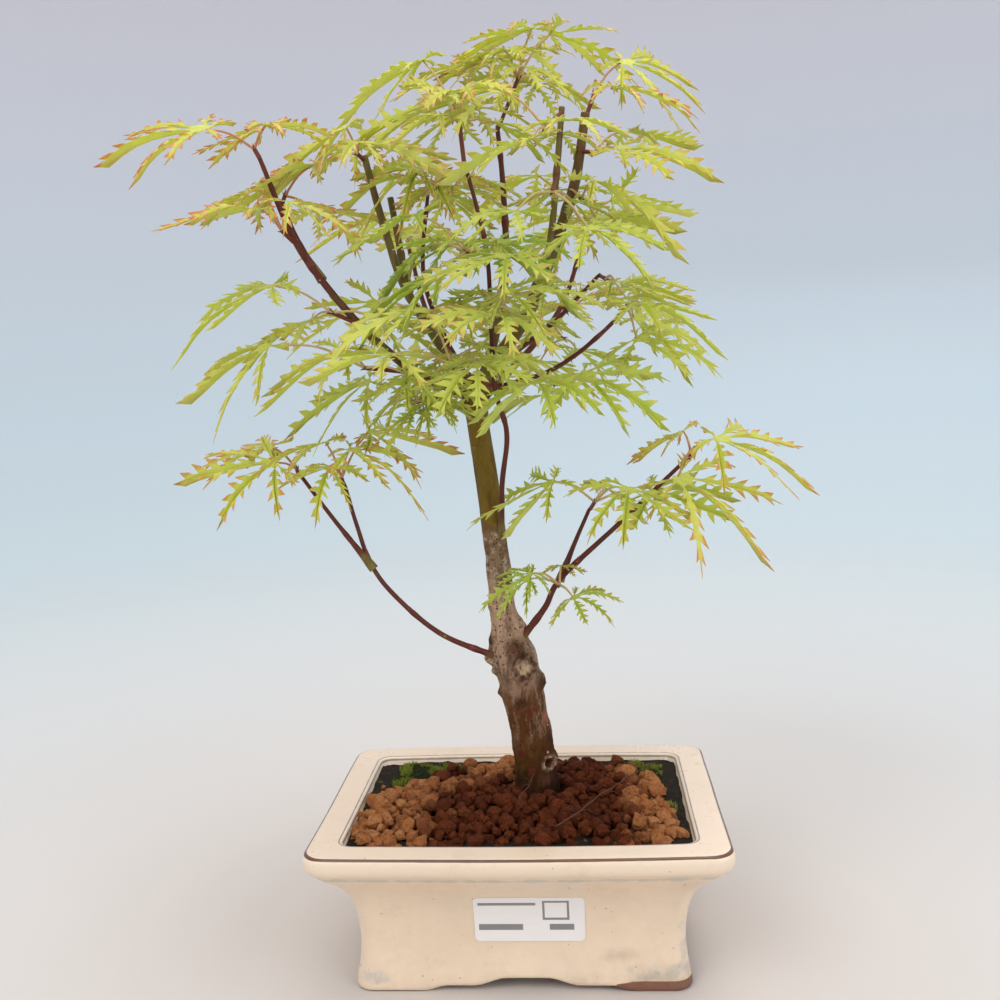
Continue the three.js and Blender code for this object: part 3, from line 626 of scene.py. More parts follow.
def ragged_group():
    """A soft mask from the mesh with its border frayed by noise."""
    group, given, out = new_group(
        "Ragged mask",
        [("Mask", "NodeSocketFloat", 0.0), ("Vector", "NodeSocketVector", None),
         ("Scale", "NodeSocketFloat", 200.0), ("Fray", "NodeSocketFloat", 0.4),
         ("Level", "NodeSocketFloat", 0.5)],
        [("Mask", "NodeSocketFloat")])
    wobble = calc(group, "SUBTRACT",
                  grain(group, given.outputs["Vector"], given.outputs["Scale"]), 0.5)
    value = calc(group, "ADD", given.outputs["Mask"],
                 calc(group, "MULTIPLY", wobble, given.outputs["Fray"]))
    low = calc(group, "SUBTRACT", given.outputs["Level"], 0.12)
    high = calc(group, "ADD", given.outputs["Level"], 0.12)
    held = calc(group, "MULTIPLY", fade(group, value, low, high),
                calc(group, "GREATER_THAN", given.outputs["Mask"], 0.02))
    group.links.new(held, out.inputs["Mask"])
    return group


SHARED = {"specks": speck_group, "mottle": mottle_group, "ragged": ragged_group}


def shared(tree, key, **inputs):
    """Mask of one of the shared groups in a material; the group is built on first use."""
    if callable(SHARED[key]):
        SHARED[key] = SHARED[key]()
    return add(tree, "ShaderNodeGroup", inputs, node_tree=SHARED[key]).outputs["Mask"]


def specks(tree, where, scale, size, amount):
    """Mask of scattered specks."""
    return shared(tree, "specks", Vector=where, Scale=scale, Size=size, Share=amount)


def mottle(tree, where, scale, low, high):
    """Mask of soft blotches."""
    return shared(tree, "mottle", Vector=where, Scale=scale, Low=low, High=high)


def ragged(tree, name, where, scale, fray, level):
    """One of the mesh's masks with a frayed border."""
    return shared(tree, "ragged", Mask=attribute(tree, name), Vector=where, Scale=scale,
                  Fray=fray, Level=level)


def new_material(name, **sockets):
    """A material with one Principled shader; constant sockets are set on it."""
    material = bpy.data.materials.new(name)
    material.use_nodes = True
    shader = material.node_tree.nodes["Principled BSDF"]
    for key, value in sockets.items():
        shader.inputs[key.replace("_", " ")].default_value = value
    return material, material.node_tree, shader


def wire(tree, shader, **sockets):
    """Links outputs to the shader's sockets."""
    for key, value in sockets.items():
        tree.links.new(value, shader.inputs[key.replace("_", " ")])


# ------------------------------------------------------------------ materials
def glaze_material(pot):
    """Cream stoneware glaze that breaks brown on edges and pools grey-blue in folds."""
    material, tree, shader = new_material("Cream glaze", Coat_Weight=0.25, Coat_Roughness=0.18,
                                          Specular_IOR_Level=0.45)
    where = place(tree)
    wide = mottle(tree, where, 26.0, 0.36, 0.66)
    body = mix(tree, wide, pot.glaze, Vector(pot.glaze) * 1.09)
    body = mix(tree, attribute(tree, "rim"), body, pot.rim_glaze)
    cloud = mottle(tree, where, 55.0, 0.52, 0.7)
    body = lay(tree, cloud, 0.22, body, (0.62, 0.47, 0.3))
    pool = ragged(tree, "fold", where, 120.0, 0.9, 0.62)
    body = lay(tree, pool, 0.5, body, (0.4, 0.43, 0.42))
    ring = ragged(tree, "crackle", where, 240.0, 0.5, 0.5)
    body = lay(tree, ring, 0.75, body, (0.13, 0.13, 0.125))
    thin = ragged(tree, "thin", where, 180.0, 0.35, 0.5)
    body = lay(tree, thin, 0.95, body, pot.break_line)
    small = specks(tree, where, 420.0, 0.2, 0.13)
    large = specks(tree, where, 130.0, 0.06, 0.3)
    body = lay(tree, small, 0.5, body, (0.32, 0.2, 0.11))
    body = lay(tree, large, 0.75, body, (0.12, 0.065, 0.03))
    bare = ragged(tree, "bare", where, 110.0, 0.3, 0.5)
    clay = mix(tree, grain(tree, where, 900.0), pot.clay, Vector(pot.clay) * 1.7)
    body = mix(tree, bare, body, clay)
    wipe = mottle(tree, where, 18.0, 0.4, 0.7)
    dust = times(tree, attribute(tree, "soiled"), wipe)
    body = lay(tree, dust, 0.55, body, (0.24, 0.15, 0.09))
    rough = plus(tree, times(tree, wide, 0.1), 0.27)
    rough = plus(tree, rough, times(tree, bare, 0.5), clamp=True)
    dents = plus(tree, grain(tree, where, 45.0, 2.0), times(tree, large, -0.35))
    dents = plus(tree, dents, times(tree, times(tree, grain(tree, where, 1500.0), bare), 0.5))
    wire(tree, shader, Base_Color=body, Roughness=rough, Normal=bumps(tree, dents, 0.0006, 0.6))
    return material


def label_material():
    """White coated paper with plain grey bars and an empty square."""
    material, tree, shader = new_material("Blank label", Specular_IOR_Level=0.4, Roughness=0.42,
                                          Coat_Weight=0.15, Coat_Roughness=0.3)
    uv = add(tree, "ShaderNodeUVMap").outputs["UV"]
    split = add(tree, "ShaderNodeSeparateXYZ", {"Vector": uv})
    across, up = split.outputs["X"], split.outputs["Y"]

    def bar(left, right, low, high):
        sides = times(tree, calc(tree, "GREATER_THAN", across, left),
                      calc(tree, "LESS_THAN", across, right))
        ends = times(tree, calc(tree, "GREATER_THAN", up, low),
                     calc(tree, "LESS_THAN", up, high))
        return times(tree, sides, ends)

    marks = [(0.04, 0.56, 0.80, 0.87), (0.04, 0.44, 0.24, 0.37), (0.68, 0.9, 0.24, 0.37)]
    ink = bar(0.62, 0.86, 0.46, 0.92)
    ink = calc(tree, "SUBTRACT", ink, bar(0.64, 0.84, 0.51, 0.87))
    for mark in marks:
        ink = plus(tree, ink, bar(*mark), clamp=True)
    paper = mix(tree, grain(tree, place(tree), 300.0), (0.91, 0.86, 0.83), (0.95, 0.9, 0.87))
    body = mix(tree, times(tree, ink, 0.8), paper, (0.09, 0.09, 0.1))
    fibres = grain(tree, place(tree), 1800.0)
    wire(tree, shader, Base_Color=body, Normal=bumps(tree, fibres, 0.00005, 0.4))
    return material


def soil_material(ground):
    """Dark damp peat with paler crumbs and a few green specks."""
    material, tree, shader = new_material("Peaty soil", Specular_IOR_Level=0.1)
    where = place(tree)
    crumbs = grain(tree, where, 420.0, 5.0, 0.7)
    body = mix(tree, fade(tree, crumbs, 0.45, 0.75), ground.soil, (0.07, 0.045, 0.025))
    straw = specks(tree, where, 260.0, 0.28, 0.08)
    body = mix(tree, straw, body, (0.2, 0.13, 0.06))
    green = specks(tree, where, 150.0, 0.3, 0.1)
    body = lay(tree, green, 0.8, body, Vector(ground.moss) * 0.6)
    wire(tree, shader, Base_Color=body, Roughness=fade(tree, crumbs, 0.3, 0.7, 0.65, 0.95),
         Normal=bumps(tree, crumbs, 0.0014, 1.0))
    return material


def granule_material(ground):
    """Porous fired clay, dark red-brown where damp and tan where dry."""
    material, tree, shader = new_material("Clay granules", Specular_IOR_Level=0.1)
    where = place(tree)
    dry = attribute(tree, "dryness")
    tint = attribute(tree, "tint")
    pores = grain(tree, where, 620.0, 5.0, 0.75)
    body = mix(tree, dry, ground.damp, ground.dry)
    body = mix(tree, fade(tree, tint, 0.0, 1.0, 0.0, 0.6), body,
               mix(tree, dry, (0.21, 0.05, 0.014), (0.58, 0.26, 0.1)))
    body = mix(tree, fade(tree, pores, 0.32, 0.54, 0.8, 0.0), body,
               mix(tree, dry, (0.035, 0.008, 0.003), (0.16, 0.05, 0.015)))
    dusty = mottle(tree, where, 240.0, 0.5, 0.72)
    body = mix(tree, times(tree, dusty, times(tree, dry, 0.45)), body, (0.66, 0.36, 0.18))
    rough = fade(tree, dry, 0.0, 1.0, 0.7, 0.96)
    pits = plus(tree, pores, times(tree, grain(tree, where, 2600.0, 2.0), 0.3))
    wire(tree, shader, Base_Color=body, Roughness=rough, Normal=bumps(tree, pits, 0.0016, 1.0))
    return material


def moss_material(ground):
    """Moss with painted shade: dark at the base of each shoot and on the cushion under the shoots,
    bright at the tip.
    """
    material, tree, shader = new_material("Cushion moss", Specular_IOR_Level=0.1, Roughness=0.8)
    # Painted shade: the cushion (tip 0) and the shoot bases are a darkened copy of the moss colour.
    body = mix(tree, attribute(tree, "tip"), Vector(ground.moss) * 0.1, ground.moss)
    body = mix(tree, times(tree, attribute(tree, "tint"), attribute(tree, "tip")), body,
               (0.32, 0.36, 0.06))
    wire(tree, shader, Base_Color=body)
    return material


def net_material():
    """Dark moulded plastic net."""
    material, tree, shader = new_material("Plastic net", Specular_IOR_Level=0.45)
    where = place(tree)
    body = mix(tree, grain(tree, where, 120.0), (0.012, 0.013, 0.016), (0.03, 0.03, 0.034))
    dusty = mottle(tree, where, 150.0, 0.5, 0.7)
    body = lay(tree, dusty, 0.4, body, (0.1, 0.07, 0.045))
    wire(tree, shader, Base_Color=body, Roughness=fade(tree, dusty, 0.0, 1.0, 0.4, 0.75),
         Normal=bumps(tree, grain(tree, where, 1200.0), 0.0001, 0.5))
    return material


def trunk_material(wood):
    """Bark that goes from brown and grey below to smooth olive above."""
    material, tree, shader = new_material("Trunk bark", Specular_IOR_Level=0.1)
    where = place(tree)
    stretched = add(tree, "ShaderNodeMapping", {"Vector": where, "Scale": (1, 1, 0.3)})
    streaky = stretched.outputs["Vector"]
    tall = attribute(tree, "height")
    wander = calc(tree, "SUBTRACT", grain(tree, where, 60.0, 5.0, 0.65), 0.5)
    height = plus(tree, tall, times(tree, wander, 0.13))
    old, grey, green = Vector(wood.old_bark), Vector(wood.grey_bark), Vector(wood.green_bark)
    stops = [(0.0, old * 0.25), (0.12, old * 0.35), (0.21, old * 0.85), (0.28, old * 1.2),
             (0.33, old * 1.2 + grey * 0.12), (0.37, grey * 0.72), (0.45, grey),
             (0.52, grey * 0.92), (0.6, grey * 0.45 + green * 0.25),
             (0.672, grey * 0.3 + green * 0.55), (0.69, green), (0.95, green * 1.15),
             (1.0, green * 0.6 + Vector(wood.red_bark) * 0.5)]
    body = colour_ramp(tree, height, stops)
    low_part = fade(tree, height, 0.33, 0.4, 1.0, 0.0)
    high_part = fade(tree, tall, 0.66, 0.7)
    middle = calc(tree, "SUBTRACT", 1.0, plus(tree, low_part, high_part), clamp=True)
    low_bits = plus(tree, low_part, times(tree, middle, 0.35))
    streaks = grain(tree, streaky, 190.0, 5.0, 0.7)
    ochre = mottle(tree, streaky, 42.0, 0.46, 0.56)
    body = lay(tree, times(tree, ochre, low_bits), 0.75, body, (0.14, 0.064, 0.008))
    rusty = mottle(tree, where, 75.0, 0.53, 0.6)
    body = lay(tree, times(tree, rusty, low_bits), 0.8, body, (0.11, 0.026, 0.009))
    pale = mottle(tree, streaky, 230.0, 0.5, 0.57)
    zone = times(tree, fade(tree, height, 0.18, 0.3), low_part)
    body = lay(tree, times(tree, pale, zone), 0.7, body, grey * 0.66)
    body = mix(tree, fade(tree, streaks, 0.34, 0.54, 0.6, 0.0), body, old * 0.4)
    dark = specks(tree, where, 880.0, 0.46, 0.5)
    body = lay(tree, times(tree, dark, middle), 0.85, body, (0.1, 0.042, 0.024))
    flakes = mottle(tree, where, 300.0, 0.53, 0.58)
    upper = times(tree, middle, fade(tree, tall, 0.48, 0.6))
    body = lay(tree, times(tree, flakes, upper), 0.8, body, (0.5, 0.4, 0.32))
    dots = specks(tree, where, 270.0, 0.16, 0.26)
    outer = plus(tree, low_part, high_part, clamp=True)
    body = lay(tree, times(tree, dots, outer), 0.9, body, (0.58, 0.42, 0.28))
    collar = times(tree, fade(tree, height, 0.665, 0.685),
                   fade(tree, height, 0.685, 0.705, 1.0, 0.0))
    body = lay(tree, collar, 0.7, body, (0.16, 0.075, 0.045))
    body = mix(tree, fade(tree, height, 0.11, 0.19, 0.6, 0.0), body, old * 0.22)
    shaggy = fade(tree, grain(tree, streaky, 420.0, 4.0, 0.7), 0.35, 0.6)
    crust = mix(tree, shaggy, (0.035, 0.013, 0.006), (0.11, 0.045, 0.024))
    body = lay(tree, attribute(tree, "crust"), 0.95, body, crust)
    body = lay(tree, attribute(tree, "bruise"), 0.85, body, (0.12, 0.022, 0.01))
    body = lay(tree, attribute(tree, "pink"), 0.6, body, (0.42, 0.14, 0.09))
    torn = mix(tree, fade(tree, grain(tree, streaky, 330.0, 3.0), 0.42, 0.52),
               (0.2, 0.075, 0.03), wood.cut_wood)
    body = mix(tree, attribute(tree, "wound"), body, torn)
    # Painted shade: scar hollows, ring pits and the crease inside a scar's lip are darkened.
    body = mix(tree, attribute(tree, "hollow_shade"), body, (0.055, 0.02, 0.01))
    relief = plus(tree, streaks, times(tree, dark, -0.25))
    relief = plus(tree, relief, times(tree, grain(tree, where, 1100.0, 4.0, 0.7), 0.45))
    relief = plus(tree, relief, times(tree, dots, 0.3))
    relief = times(tree, relief, fade(tree, tall, 0.62, 0.7, 1.0, 0.35))
    wire(tree, shader, Base_Color=body, Roughness=fade(tree, tall, 0.64, 0.72, 0.8, 0.5),
         Normal=bumps(tree, relief, 0.0013, 1.0))
    return material


def young_wood_material(wood):
    """Young bark: red shoots, and limbs that turn olive on the shaded side."""
    material, tree, shader = new_material("Young bark", Specular_IOR_Level=0.3)
    where = place(tree)
    stretched = add(tree, "ShaderNodeMapping", {"Vector": where, "Scale": (1, 1, 0.25)})
    streaks = grain(tree, stretched.outputs["Vector"], 260.0, 3.0)
    ripe = attribute(tree, "ripe")
    under = attribute(tree, "underside")
    wander = times(tree, calc(tree, "SUBTRACT", grain(tree, where, 70.0), 0.5), 1.1)
    level = plus(tree, plus(tree, ripe, times(tree, under, 0.25)), wander)
    body = mix(tree, fade(tree, level, 0.3, 0.75), wood.red_bark, wood.olive_bark)
    body = mix(tree, fade(tree, streaks, 0.4, 0.62, 0.4, 0.0), body,
               Vector(wood.red_bark) * 0.35)
    dots = specks(tree, where, 520.0, 0.22, 0.12)
    body = lay(tree, dots, 0.6, body, (0.5, 0.4, 0.28))
    body = mix(tree, attribute(tree, "scale"), body, (0.32, 0.055, 0.035))
    pith = mix(tree, grain(tree, where, 700.0), Vector(wood.cut_wood) * 0.55, wood.cut_wood)
    body = mix(tree, attribute(tree, "cut"), body, pith)
    wire(tree, shader, Base_Color=body, Roughness=fade(tree, streaks, 0.3, 0.7, 0.38, 0.6),
         Normal=bumps(tree, streaks, 0.0003, 0.6))
    return material


def leaf_material(leaf):
    """Thin live leaf with a pale midrib, net of veins and a red toothed margin."""
    material, tree, shader = new_material("Maple leaf", Specular_IOR_Level=0.28,
                                          Subsurface_Weight=0.35,
                                          Subsurface_Radius=(0.6, 1.0, 0.12),
                                          Subsurface_Scale=0.003)
    where = place(tree)
    edge, along = attribute(tree, "edge"), attribute(tree, "along")
    red, deep = attribute(tree, "redness"), attribute(tree, "depth")
    patch = grain(tree, where, 130.0, 3.0)
    # Mixing towards deep green is partly the leaves' own darker green and partly painted shade for
    # inner and lower shoots.
    body = mix(tree, plus(tree, deep, fade(tree, patch, 0.3, 0.7, -0.12, 0.16), clamp=True),
               leaf.fresh, leaf.deep)
    body = mix(tree, times(tree, fade(tree, along, 0.0, 0.3, 0.45, 0.0), 0.6), body,
               (0.62, 0.66, 0.14))
    blush = times(tree, fade(tree, along, 0.3, 1.0, 0.0, 0.6), red)
    blush = times(tree, blush, fade(tree, patch, 0.35, 0.6, 0.35, 1.0))
    body = mix(tree, blush, body, (0.62, 0.3, 0.1))
    reach = plus(tree, edge, times(tree, along, 0.2))
    reach = plus(tree, reach, times(tree, red, 0.18))
    rim_mask = times(tree, fade(tree, reach, 0.95, 1.12), fade(tree, red, 0.1, 0.8, 0.2, 1.0))
    rim_mask = times(tree, rim_mask, fade(tree, patch, 0.3, 0.5, 0.55, 1.0))
    body = mix(tree, rim_mask, body, leaf.margin)
    rib = fade(tree, edge, 0.0, 0.14, 1.0, 0.0)
    body = lay(tree, rib, 0.35, body, (0.72, 0.68, 0.26))
    veins = grain(tree, where, 700.0, 2.0)
    relief = plus(tree, times(tree, veins, 0.5), times(tree, rib, -0.6))
    wire(tree, shader, Base_Color=body, Roughness=fade(tree, patch, 0.3, 0.7, 0.42, 0.58),
         Normal=bumps(tree, relief, 0.0003, 0.5))
    return material


def stalk_material(leaf, wood):
    """Leaf stalks, pale yellow to salmon, red where they meet the twig."""
    material, tree, shader = new_material("Leaf stalk", Specular_IOR_Level=0.4, Roughness=0.45,
                                          Subsurface_Weight=0.2, Subsurface_Scale=0.002)
    twig, red = attribute(tree, "twig"), attribute(tree, "redness")
    body = mix(tree, fade(tree, red, 0.1, 0.9), leaf.stalk, (0.55, 0.2, 0.1))
    body = mix(tree, times(tree, grain(tree, place(tree), 200.0), 0.35), body, (0.4, 0.3, 0.08))
    body = mix(tree, twig, body, Vector(wood.red_bark) * 1.3)
    fibres = grain(tree, place(tree), 900.0)
    wire(tree, shader, Base_Color=body, Normal=bumps(tree, fibres, 0.0001, 0.5))
    return material


def root_material():
    """Thin dry root."""
    material, tree, shader = new_material("Dry root", Specular_IOR_Level=0.25, Roughness=0.85)
    where = place(tree)
    body = mix(tree, grain(tree, where, 300.0), (0.035, 0.014, 0.008), (0.16, 0.07, 0.042))
    wire(tree, shader, Base_Color=body, Normal=bumps(tree, grain(tree, where, 900.0), 0.0002))
    return material


# Colours of the floor outwards and up its curved edge, at shares of five metres.
FLOOR_COLOURS = [
    (0.03, (0.64, 0.59, 0.55)), (0.09, (0.65, 0.65, 0.64)), (0.16, (0.64, 0.69, 0.695)),
    (0.25, (0.615, 0.71, 0.745)), (0.4, (0.61, 0.715, 0.77)), (0.6, (0.67, 0.73, 0.795)),
    (0.78, (0.75, 0.745, 0.8)), (0.95, (0.8, 0.73, 0.77)),
]


def floor_material():
    """Pale seamless floor that turns pale blue far off."""
    material, tree, shader = new_material("Pale floor", Roughness=0.7, Specular_IOR_Level=0.15)
    split = add(tree, "ShaderNodeSeparateXYZ", {"Vector": place(tree)})
    flat = calc(tree, "SQRT", plus(tree, calc(tree, "POWER", split.outputs["X"], 2.0),
                                   calc(tree, "POWER", split.outputs["Y"], 2.0)))
    far = plus(tree, flat, split.outputs["Z"])
    body = colour_ramp(tree, calc(tree, "DIVIDE", far, 5.0), FLOOR_COLOURS)
    wire(tree, shader, Base_Color=body)
    return material


# ------------------------------------------------------------------ pot
# Insets of the bed that the granules and moss keep to, and of the soil, in millimetres.
BED_INSET, SOIL_INSET = 18.6, 15.9
BED_X, BED_Y = HALF_WIDTH - BED_INSET, HALF_DEPTH - BED_INSET
# Height of the soil's underside over the pot's foot, in millimetres.
SOIL_BOTTOM = 45
# Parts of the pot's outline: in one corner, along the front, along one end.
CORNER_PARTS, FRONT_PARTS, END_PARTS = 8, 44, 30
# Rows of the pot's section that make its outer wall, from the foot to the rim.
WALL_ROWS = slice(10, 35)
DRAIN_RADIUS = 6.5 * MM
# How far the sticker stands off the glaze in millimetres; its rounding and thickness.
LABEL_STANDS_OFF, LABEL_CORNER, LABEL_THICKNESS = 0.22, 2.2 * MM, 0.2 * MM


def pot_outline(inset, radius):
    """Points round the pot at one inset, all rings alike in number and order."""
    half_x, half_y = HALF_WIDTH - inset, HALF_DEPTH - inset
    points = []
    for turn, (sx, sy) in enumerate(((1, -1), (1, 1), (-1, 1), (-1, -1))):
        for k in range(CORNER_PARTS + 1):
            a = math.radians(-90 + 90 * turn + 90 * k / CORNER_PARTS)
            points.append(Vector((sx * (half_x - radius) + radius * math.cos(a),
                                  sy * (half_y - radius) + radius * math.sin(a))))
        parts = END_PARTS if turn % 2 == 0 else FRONT_PARTS
        for k in range(1, parts):
            s = -1 + 2 * k / parts
            if turn == 0:
                points.append(Vector((half_x, s * (half_y - radius))))
            elif turn == 1:
                points.append(Vector((-s * (half_x - radius), half_y)))
            elif turn == 2:
                points.append(Vector((-half_x, -s * (half_y - radius))))
            else:
                points.append(Vector((s * (half_x - radius), -half_y)))
    return points


def pot_section(pot):
    """The pot's section as (inset, z, corner radius, masks) from under the floor, out over the
    foot, wall and rim, and down inside to the floor."""
    lip = RIM_TOP - pot.lip_height / MM
    rim = pot.rim_width / MM
    return [
        (27.0, 7.0, 7, {"bare": 1}), (24.6, 6.9, 7, {"bare": 1}), (23.8, 5.0, 7, {"bare": 1}),
        (23.2, 1.6, 7, {"bare": 1}), (22.5, 0.4, 7, {"bare": 1}), (21.2, 0.0, 7, {"bare": 1}),
        (18.8, 0.0, 8, {"bare": 1}), (17.4, 0.3, 8, {"bare": 0.8}),
        (16.9, 1.3, 8, {"bare": 0.35, "soiled": 1}), (16.9, 2.2, 8, {"fold": 0.2, "soiled": 1}),
        (17.0, 3.2, 8, {"fold": 0.3, "soiled": 1}), (17.2, 4.2, 8, {"fold": 0.3, "soiled": 1}),
        (17.3, 5.4, 8, {"fold": 0.2, "soiled": 0.8}), (17.9, 8.0, 8, {"soiled": 0.5}),
        (18.5, 11.5, 8, {"soiled": 0.2}), (18.9, 15.5, 8, {}), (19.1, 20.0, 8, {}),
        (19.0, 25.0, 8, {}), (18.6, 30.0, 8, {}), (17.9, 35.0, 8, {}), (16.8, 39.5, 8, {}),
        (15.2, 44.0, 8, {}), (13.0, 48.0, 8, {}), (10.2, 51.5, 8, {}),
        (7.4, 54.2, 8, {"fold": 0.1}), (5.2, 56.2, 8, {"fold": 0.45}),
        (3.9, 57.8, 8.3, {"fold": 0.75}), (3.2, lip - 2.2, 8.5, {"fold": 0.62}),
        (2.2, lip - 1.2, 8.6, {"fold": 0.4}), (1.1, lip - 0.4, 8.8, {"fold": 0.15, "rim": 0.2}),
        (0.35, lip + 0.8, 9, {"rim": 0.5}), (0.0, lip + 2.6, 9, {"rim": 0.7}),
        (0.0, RIM_TOP - 3.2, 9, {"rim": 0.8}), (0.12, RIM_TOP - 2.0, 9, {"rim": 0.8}),
        (0.4, RIM_TOP - 1.25, 9, {"thin": 0.15, "rim": 0.9}),
        (0.8, RIM_TOP - 0.7, 9, {"thin": 1, "rim": 1}),
        (1.35, RIM_TOP - 0.3, 9, {"thin": 0.85, "rim": 1}),
        (2.1, RIM_TOP - 0.08, 9, {"rim": 1}), (3.4, RIM_TOP, 9, {"rim": 1}),
        (7.0, RIM_TOP - 0.1, 8, {"rim": 1}), (rim - 3.4, RIM_TOP - 0.12, 7, {"rim": 1}),
        (rim - 2.2, RIM_TOP - 0.1, 6.6, {"rim": 1, "crackle": 0.1}),
        (rim - 1.5, RIM_TOP - 0.15, 6.3, {"rim": 1, "crackle": 0.9}),
        (rim - 1.0, RIM_TOP - 0.25, 6, {"rim": 1, "crackle": 0.25}),
        (rim - 0.4, RIM_TOP - 0.6, 5.8, {"rim": 1, "crackle": 0.1}),
        (rim + 0.1, RIM_TOP - 1.3, 5.6, {"rim": 0.7, "crackle": 0.9}),
        (rim + 0.5, RIM_TOP - 2.2, 5.4, {"rim": 0.6, "crackle": 0.2, "fold": 0.2}),
        (rim + 1.4, RIM_TOP - 4.0, 5.2, {"rim": 0.5, "fold": 0.15}),
        (rim + 2.6, RIM_TOP - 7, 5, {}),
        (19.2, 58.0, 5, {}), (20.4, 50.0, 5, {}), (22.6, 38.0, 5, {}), (25.2, 22.0, 5, {}),
        (26.6, 15.0, 5, {}), (28.6, 13.0, 5, {}),
    ]


def foot_rise(x, y, height):
    """How far the lower edge of the foot is cut up at a place, in millimetres: a cloud-shaped
    cut with a low step on both sides of a higher arch."""
    if abs(y) / HALF_DEPTH > abs(x) / HALF_WIDTH:
        run, scale = abs(x - 2), 1.0
    else:
        run, scale = abs(y), 0.62
    step = smoothstep(run, 46 * scale, 35 * scale)
    arch = smoothstep(run, 23 * scale, 9 * scale)
    return height * (0.42 * step + 0.58 * arch)


def worn_masks(x, y, z, tall, given):
    """The masks of one point of the pot, given those of its row: bare clay along the front's
    foot, glaze pooled at the front's corners and a soiled smudge."""
    worn = dict(given)

    def raise_to(key, amount):
        worn[key] = max(worn.get(key, 0), amount)

    if y < 0 and z < 9:
        line = 0.5 + 4.2 * smoothstep(x, 22, 52)
        worn["bare"] = smoothstep(tall, line + 0.7, line - 0.7)
    if y < 0 and x > 20:
        raise_to("fold", 0.62 * smoothstep(x, 22, 50) * smoothstep(tall, 16, 11)
                 * smoothstep(tall, 3, 6))
    elif z < 20:
        worn["fold"] = worn.get("fold", 0) * 0.5
        worn["soiled"] = worn.get("soiled", 0) * 0.3
    if y < 0:
        left = smoothstep(x, -50, -64) * smoothstep(tall, 15, 9)
        right = smoothstep(x, 60, 70) * smoothstep(tall, 38, 28)
        raise_to("fold", 0.62 * max(left * smoothstep(tall, 1, 4),
                                    right * smoothstep(tall, 10, 16)))
        raise_to("soiled", 0.9 * math.exp(-((x - 42) / 8) ** 2 - ((tall - 15) / 2.4) ** 2))
    return worn


class BONSAI_OT_pot(bpy.types.Operator):
    """Model the glazed pot with its rim, wall, scalloped feet and drain holes"""

    bl_idname = "bonsai.pot"
    bl_label = "Pot"

    def execute(self, context):
        pot = context.scene.bonsai_pot
        section = pot_section(pot)
        masks = {key: [] for key in ("bare", "fold", "soiled", "rim", "thin", "crackle")}
        points = []
        rise = pot.arch_height / MM
        bow = pot.rim_bow / MM
        for inset, z, radius, mask in section:
            for p in pot_outline(inset, radius):
                lift = foot_rise(p.x, p.y, rise) * max(0.0, 1 - z / 16) if z < 16 else 0.0
                swell = bow * within((z - 40) / 25)
                swell *= max(0.0, 1 - (p.x / HALF_WIDTH) ** 2)
                swell *= within((abs(p.y) - 30) / 12)
                wave = 0.35 * noise.noise(Vector((p.x, p.y, z)) * 0.022)
                y = p.y + math.copysign(swell, p.y)
                points.append(at(p.x * (1 + wave / 90), y * (1 + wave / 60), z + lift))
                worn = worn_masks(p.x, p.y, z, z + lift, mask)
                for key in masks:
                    masks[key].append(within(worn.get(key, 0.0)))
        count = len(points) // len(section)
        faces = ring_faces(len(section), count)
        faces.append(tuple(reversed(range(count))))
        top = (len(section) - 1) * count
        faces.append(tuple(range(top, top + count)))
        obj = mesh_piece("stoneware_pot", points, faces, masks, glaze_material(pot), smooth=None)
        recalculate_normals(obj)
        for node in ("drain_net_left", "drain_net_right"):
            low, high = corners(node)
            middle = (low + high) / 2
            bpy.ops.object.select_all(action="DESELECT")
            bpy.ops.mesh.primitive_cylinder_add(
                vertices=40, radius=DRAIN_RADIUS, depth=20 * MM,
                location=(middle.x, middle.y, 9.5 * MM))
            cutter = context.object
            apply_modifier(obj, "BOOLEAN", operation="DIFFERENCE", solver="EXACT", object=cutter)
            bpy.data.objects.remove(cutter)
        shade_smooth(obj, 40)
        stands_for(obj, "glaze", "pot")
        return {"FINISHED"}


def pot_front(x, z, pot):
    """How far the pot's front stands forward at a place, in millimetres."""
    wall = [row[:2] for row in pot_section(pot)[WALL_ROWS]]
    for (inset_a, z_a), (inset_b, z_b) in zip(wall, wall[1:]):
        if z_a <= z <= z_b:
            inset = inset_a + (inset_b - inset_a) * (z - z_a) / (z_b - z_a)
            swell = pot.rim_bow / MM * within((z - 40) / 25)
            return -(HALF_DEPTH - inset) - swell * (1 - (x / HALF_WIDTH) ** 2)
    raise ValueError("the label lies off the pot's front")


class BONSAI_OT_label(bpy.types.Operator):
    """Model the blank sticker that follows the pot's front"""

    bl_idname = "bonsai.label"
    bl_label = "Label"

    def execute(self, context):
        pot = context.scene.bonsai_pot
        low, high = corners("label")
        bpy.ops.object.select_all(action="DESELECT")
        bpy.ops.mesh.primitive_grid_add(x_subdivisions=48, y_subdivisions=20, size=2)
        obj = context.object
        obj.name = "blank_sticker"
        half_x, half_z = (high.x - low.x) / 2, (high.z - low.z) / 2
        middle = (low + high) / 2
        for vertex in obj.data.vertices:
            u, v = vertex.co.x, vertex.co.y
            x, z = u * half_x, v * half_z
            over_x = max(0.0, abs(x) - (half_x - LABEL_CORNER))
            over_z = max(0.0, abs(z) - (half_z - LABEL_CORNER))
            reach = math.hypot(over_x, over_z)
            if reach > 0:
                square = max(over_x, over_z)
                x -= math.copysign(over_x * (1 - square / reach), x)
                z -= math.copysign(over_z * (1 - square / reach), z)
            plan_x = (middle.x + x - MIDDLE.x) / MM
            z_mm = (middle.z + z) / MM
            vertex.co = at(plan_x, pot_front(plan_x, z_mm, pot) - LABEL_STANDS_OFF, z_mm)
        obj.data.materials.append(label_material())
        apply_modifier(obj, "SOLIDIFY", thickness=LABEL_THICKNESS, offset=0)
        recalculate_normals(obj)
        shade_smooth(obj, 40)
        stands_for(obj, "sticker", "label")
        return {"FINISHED"}


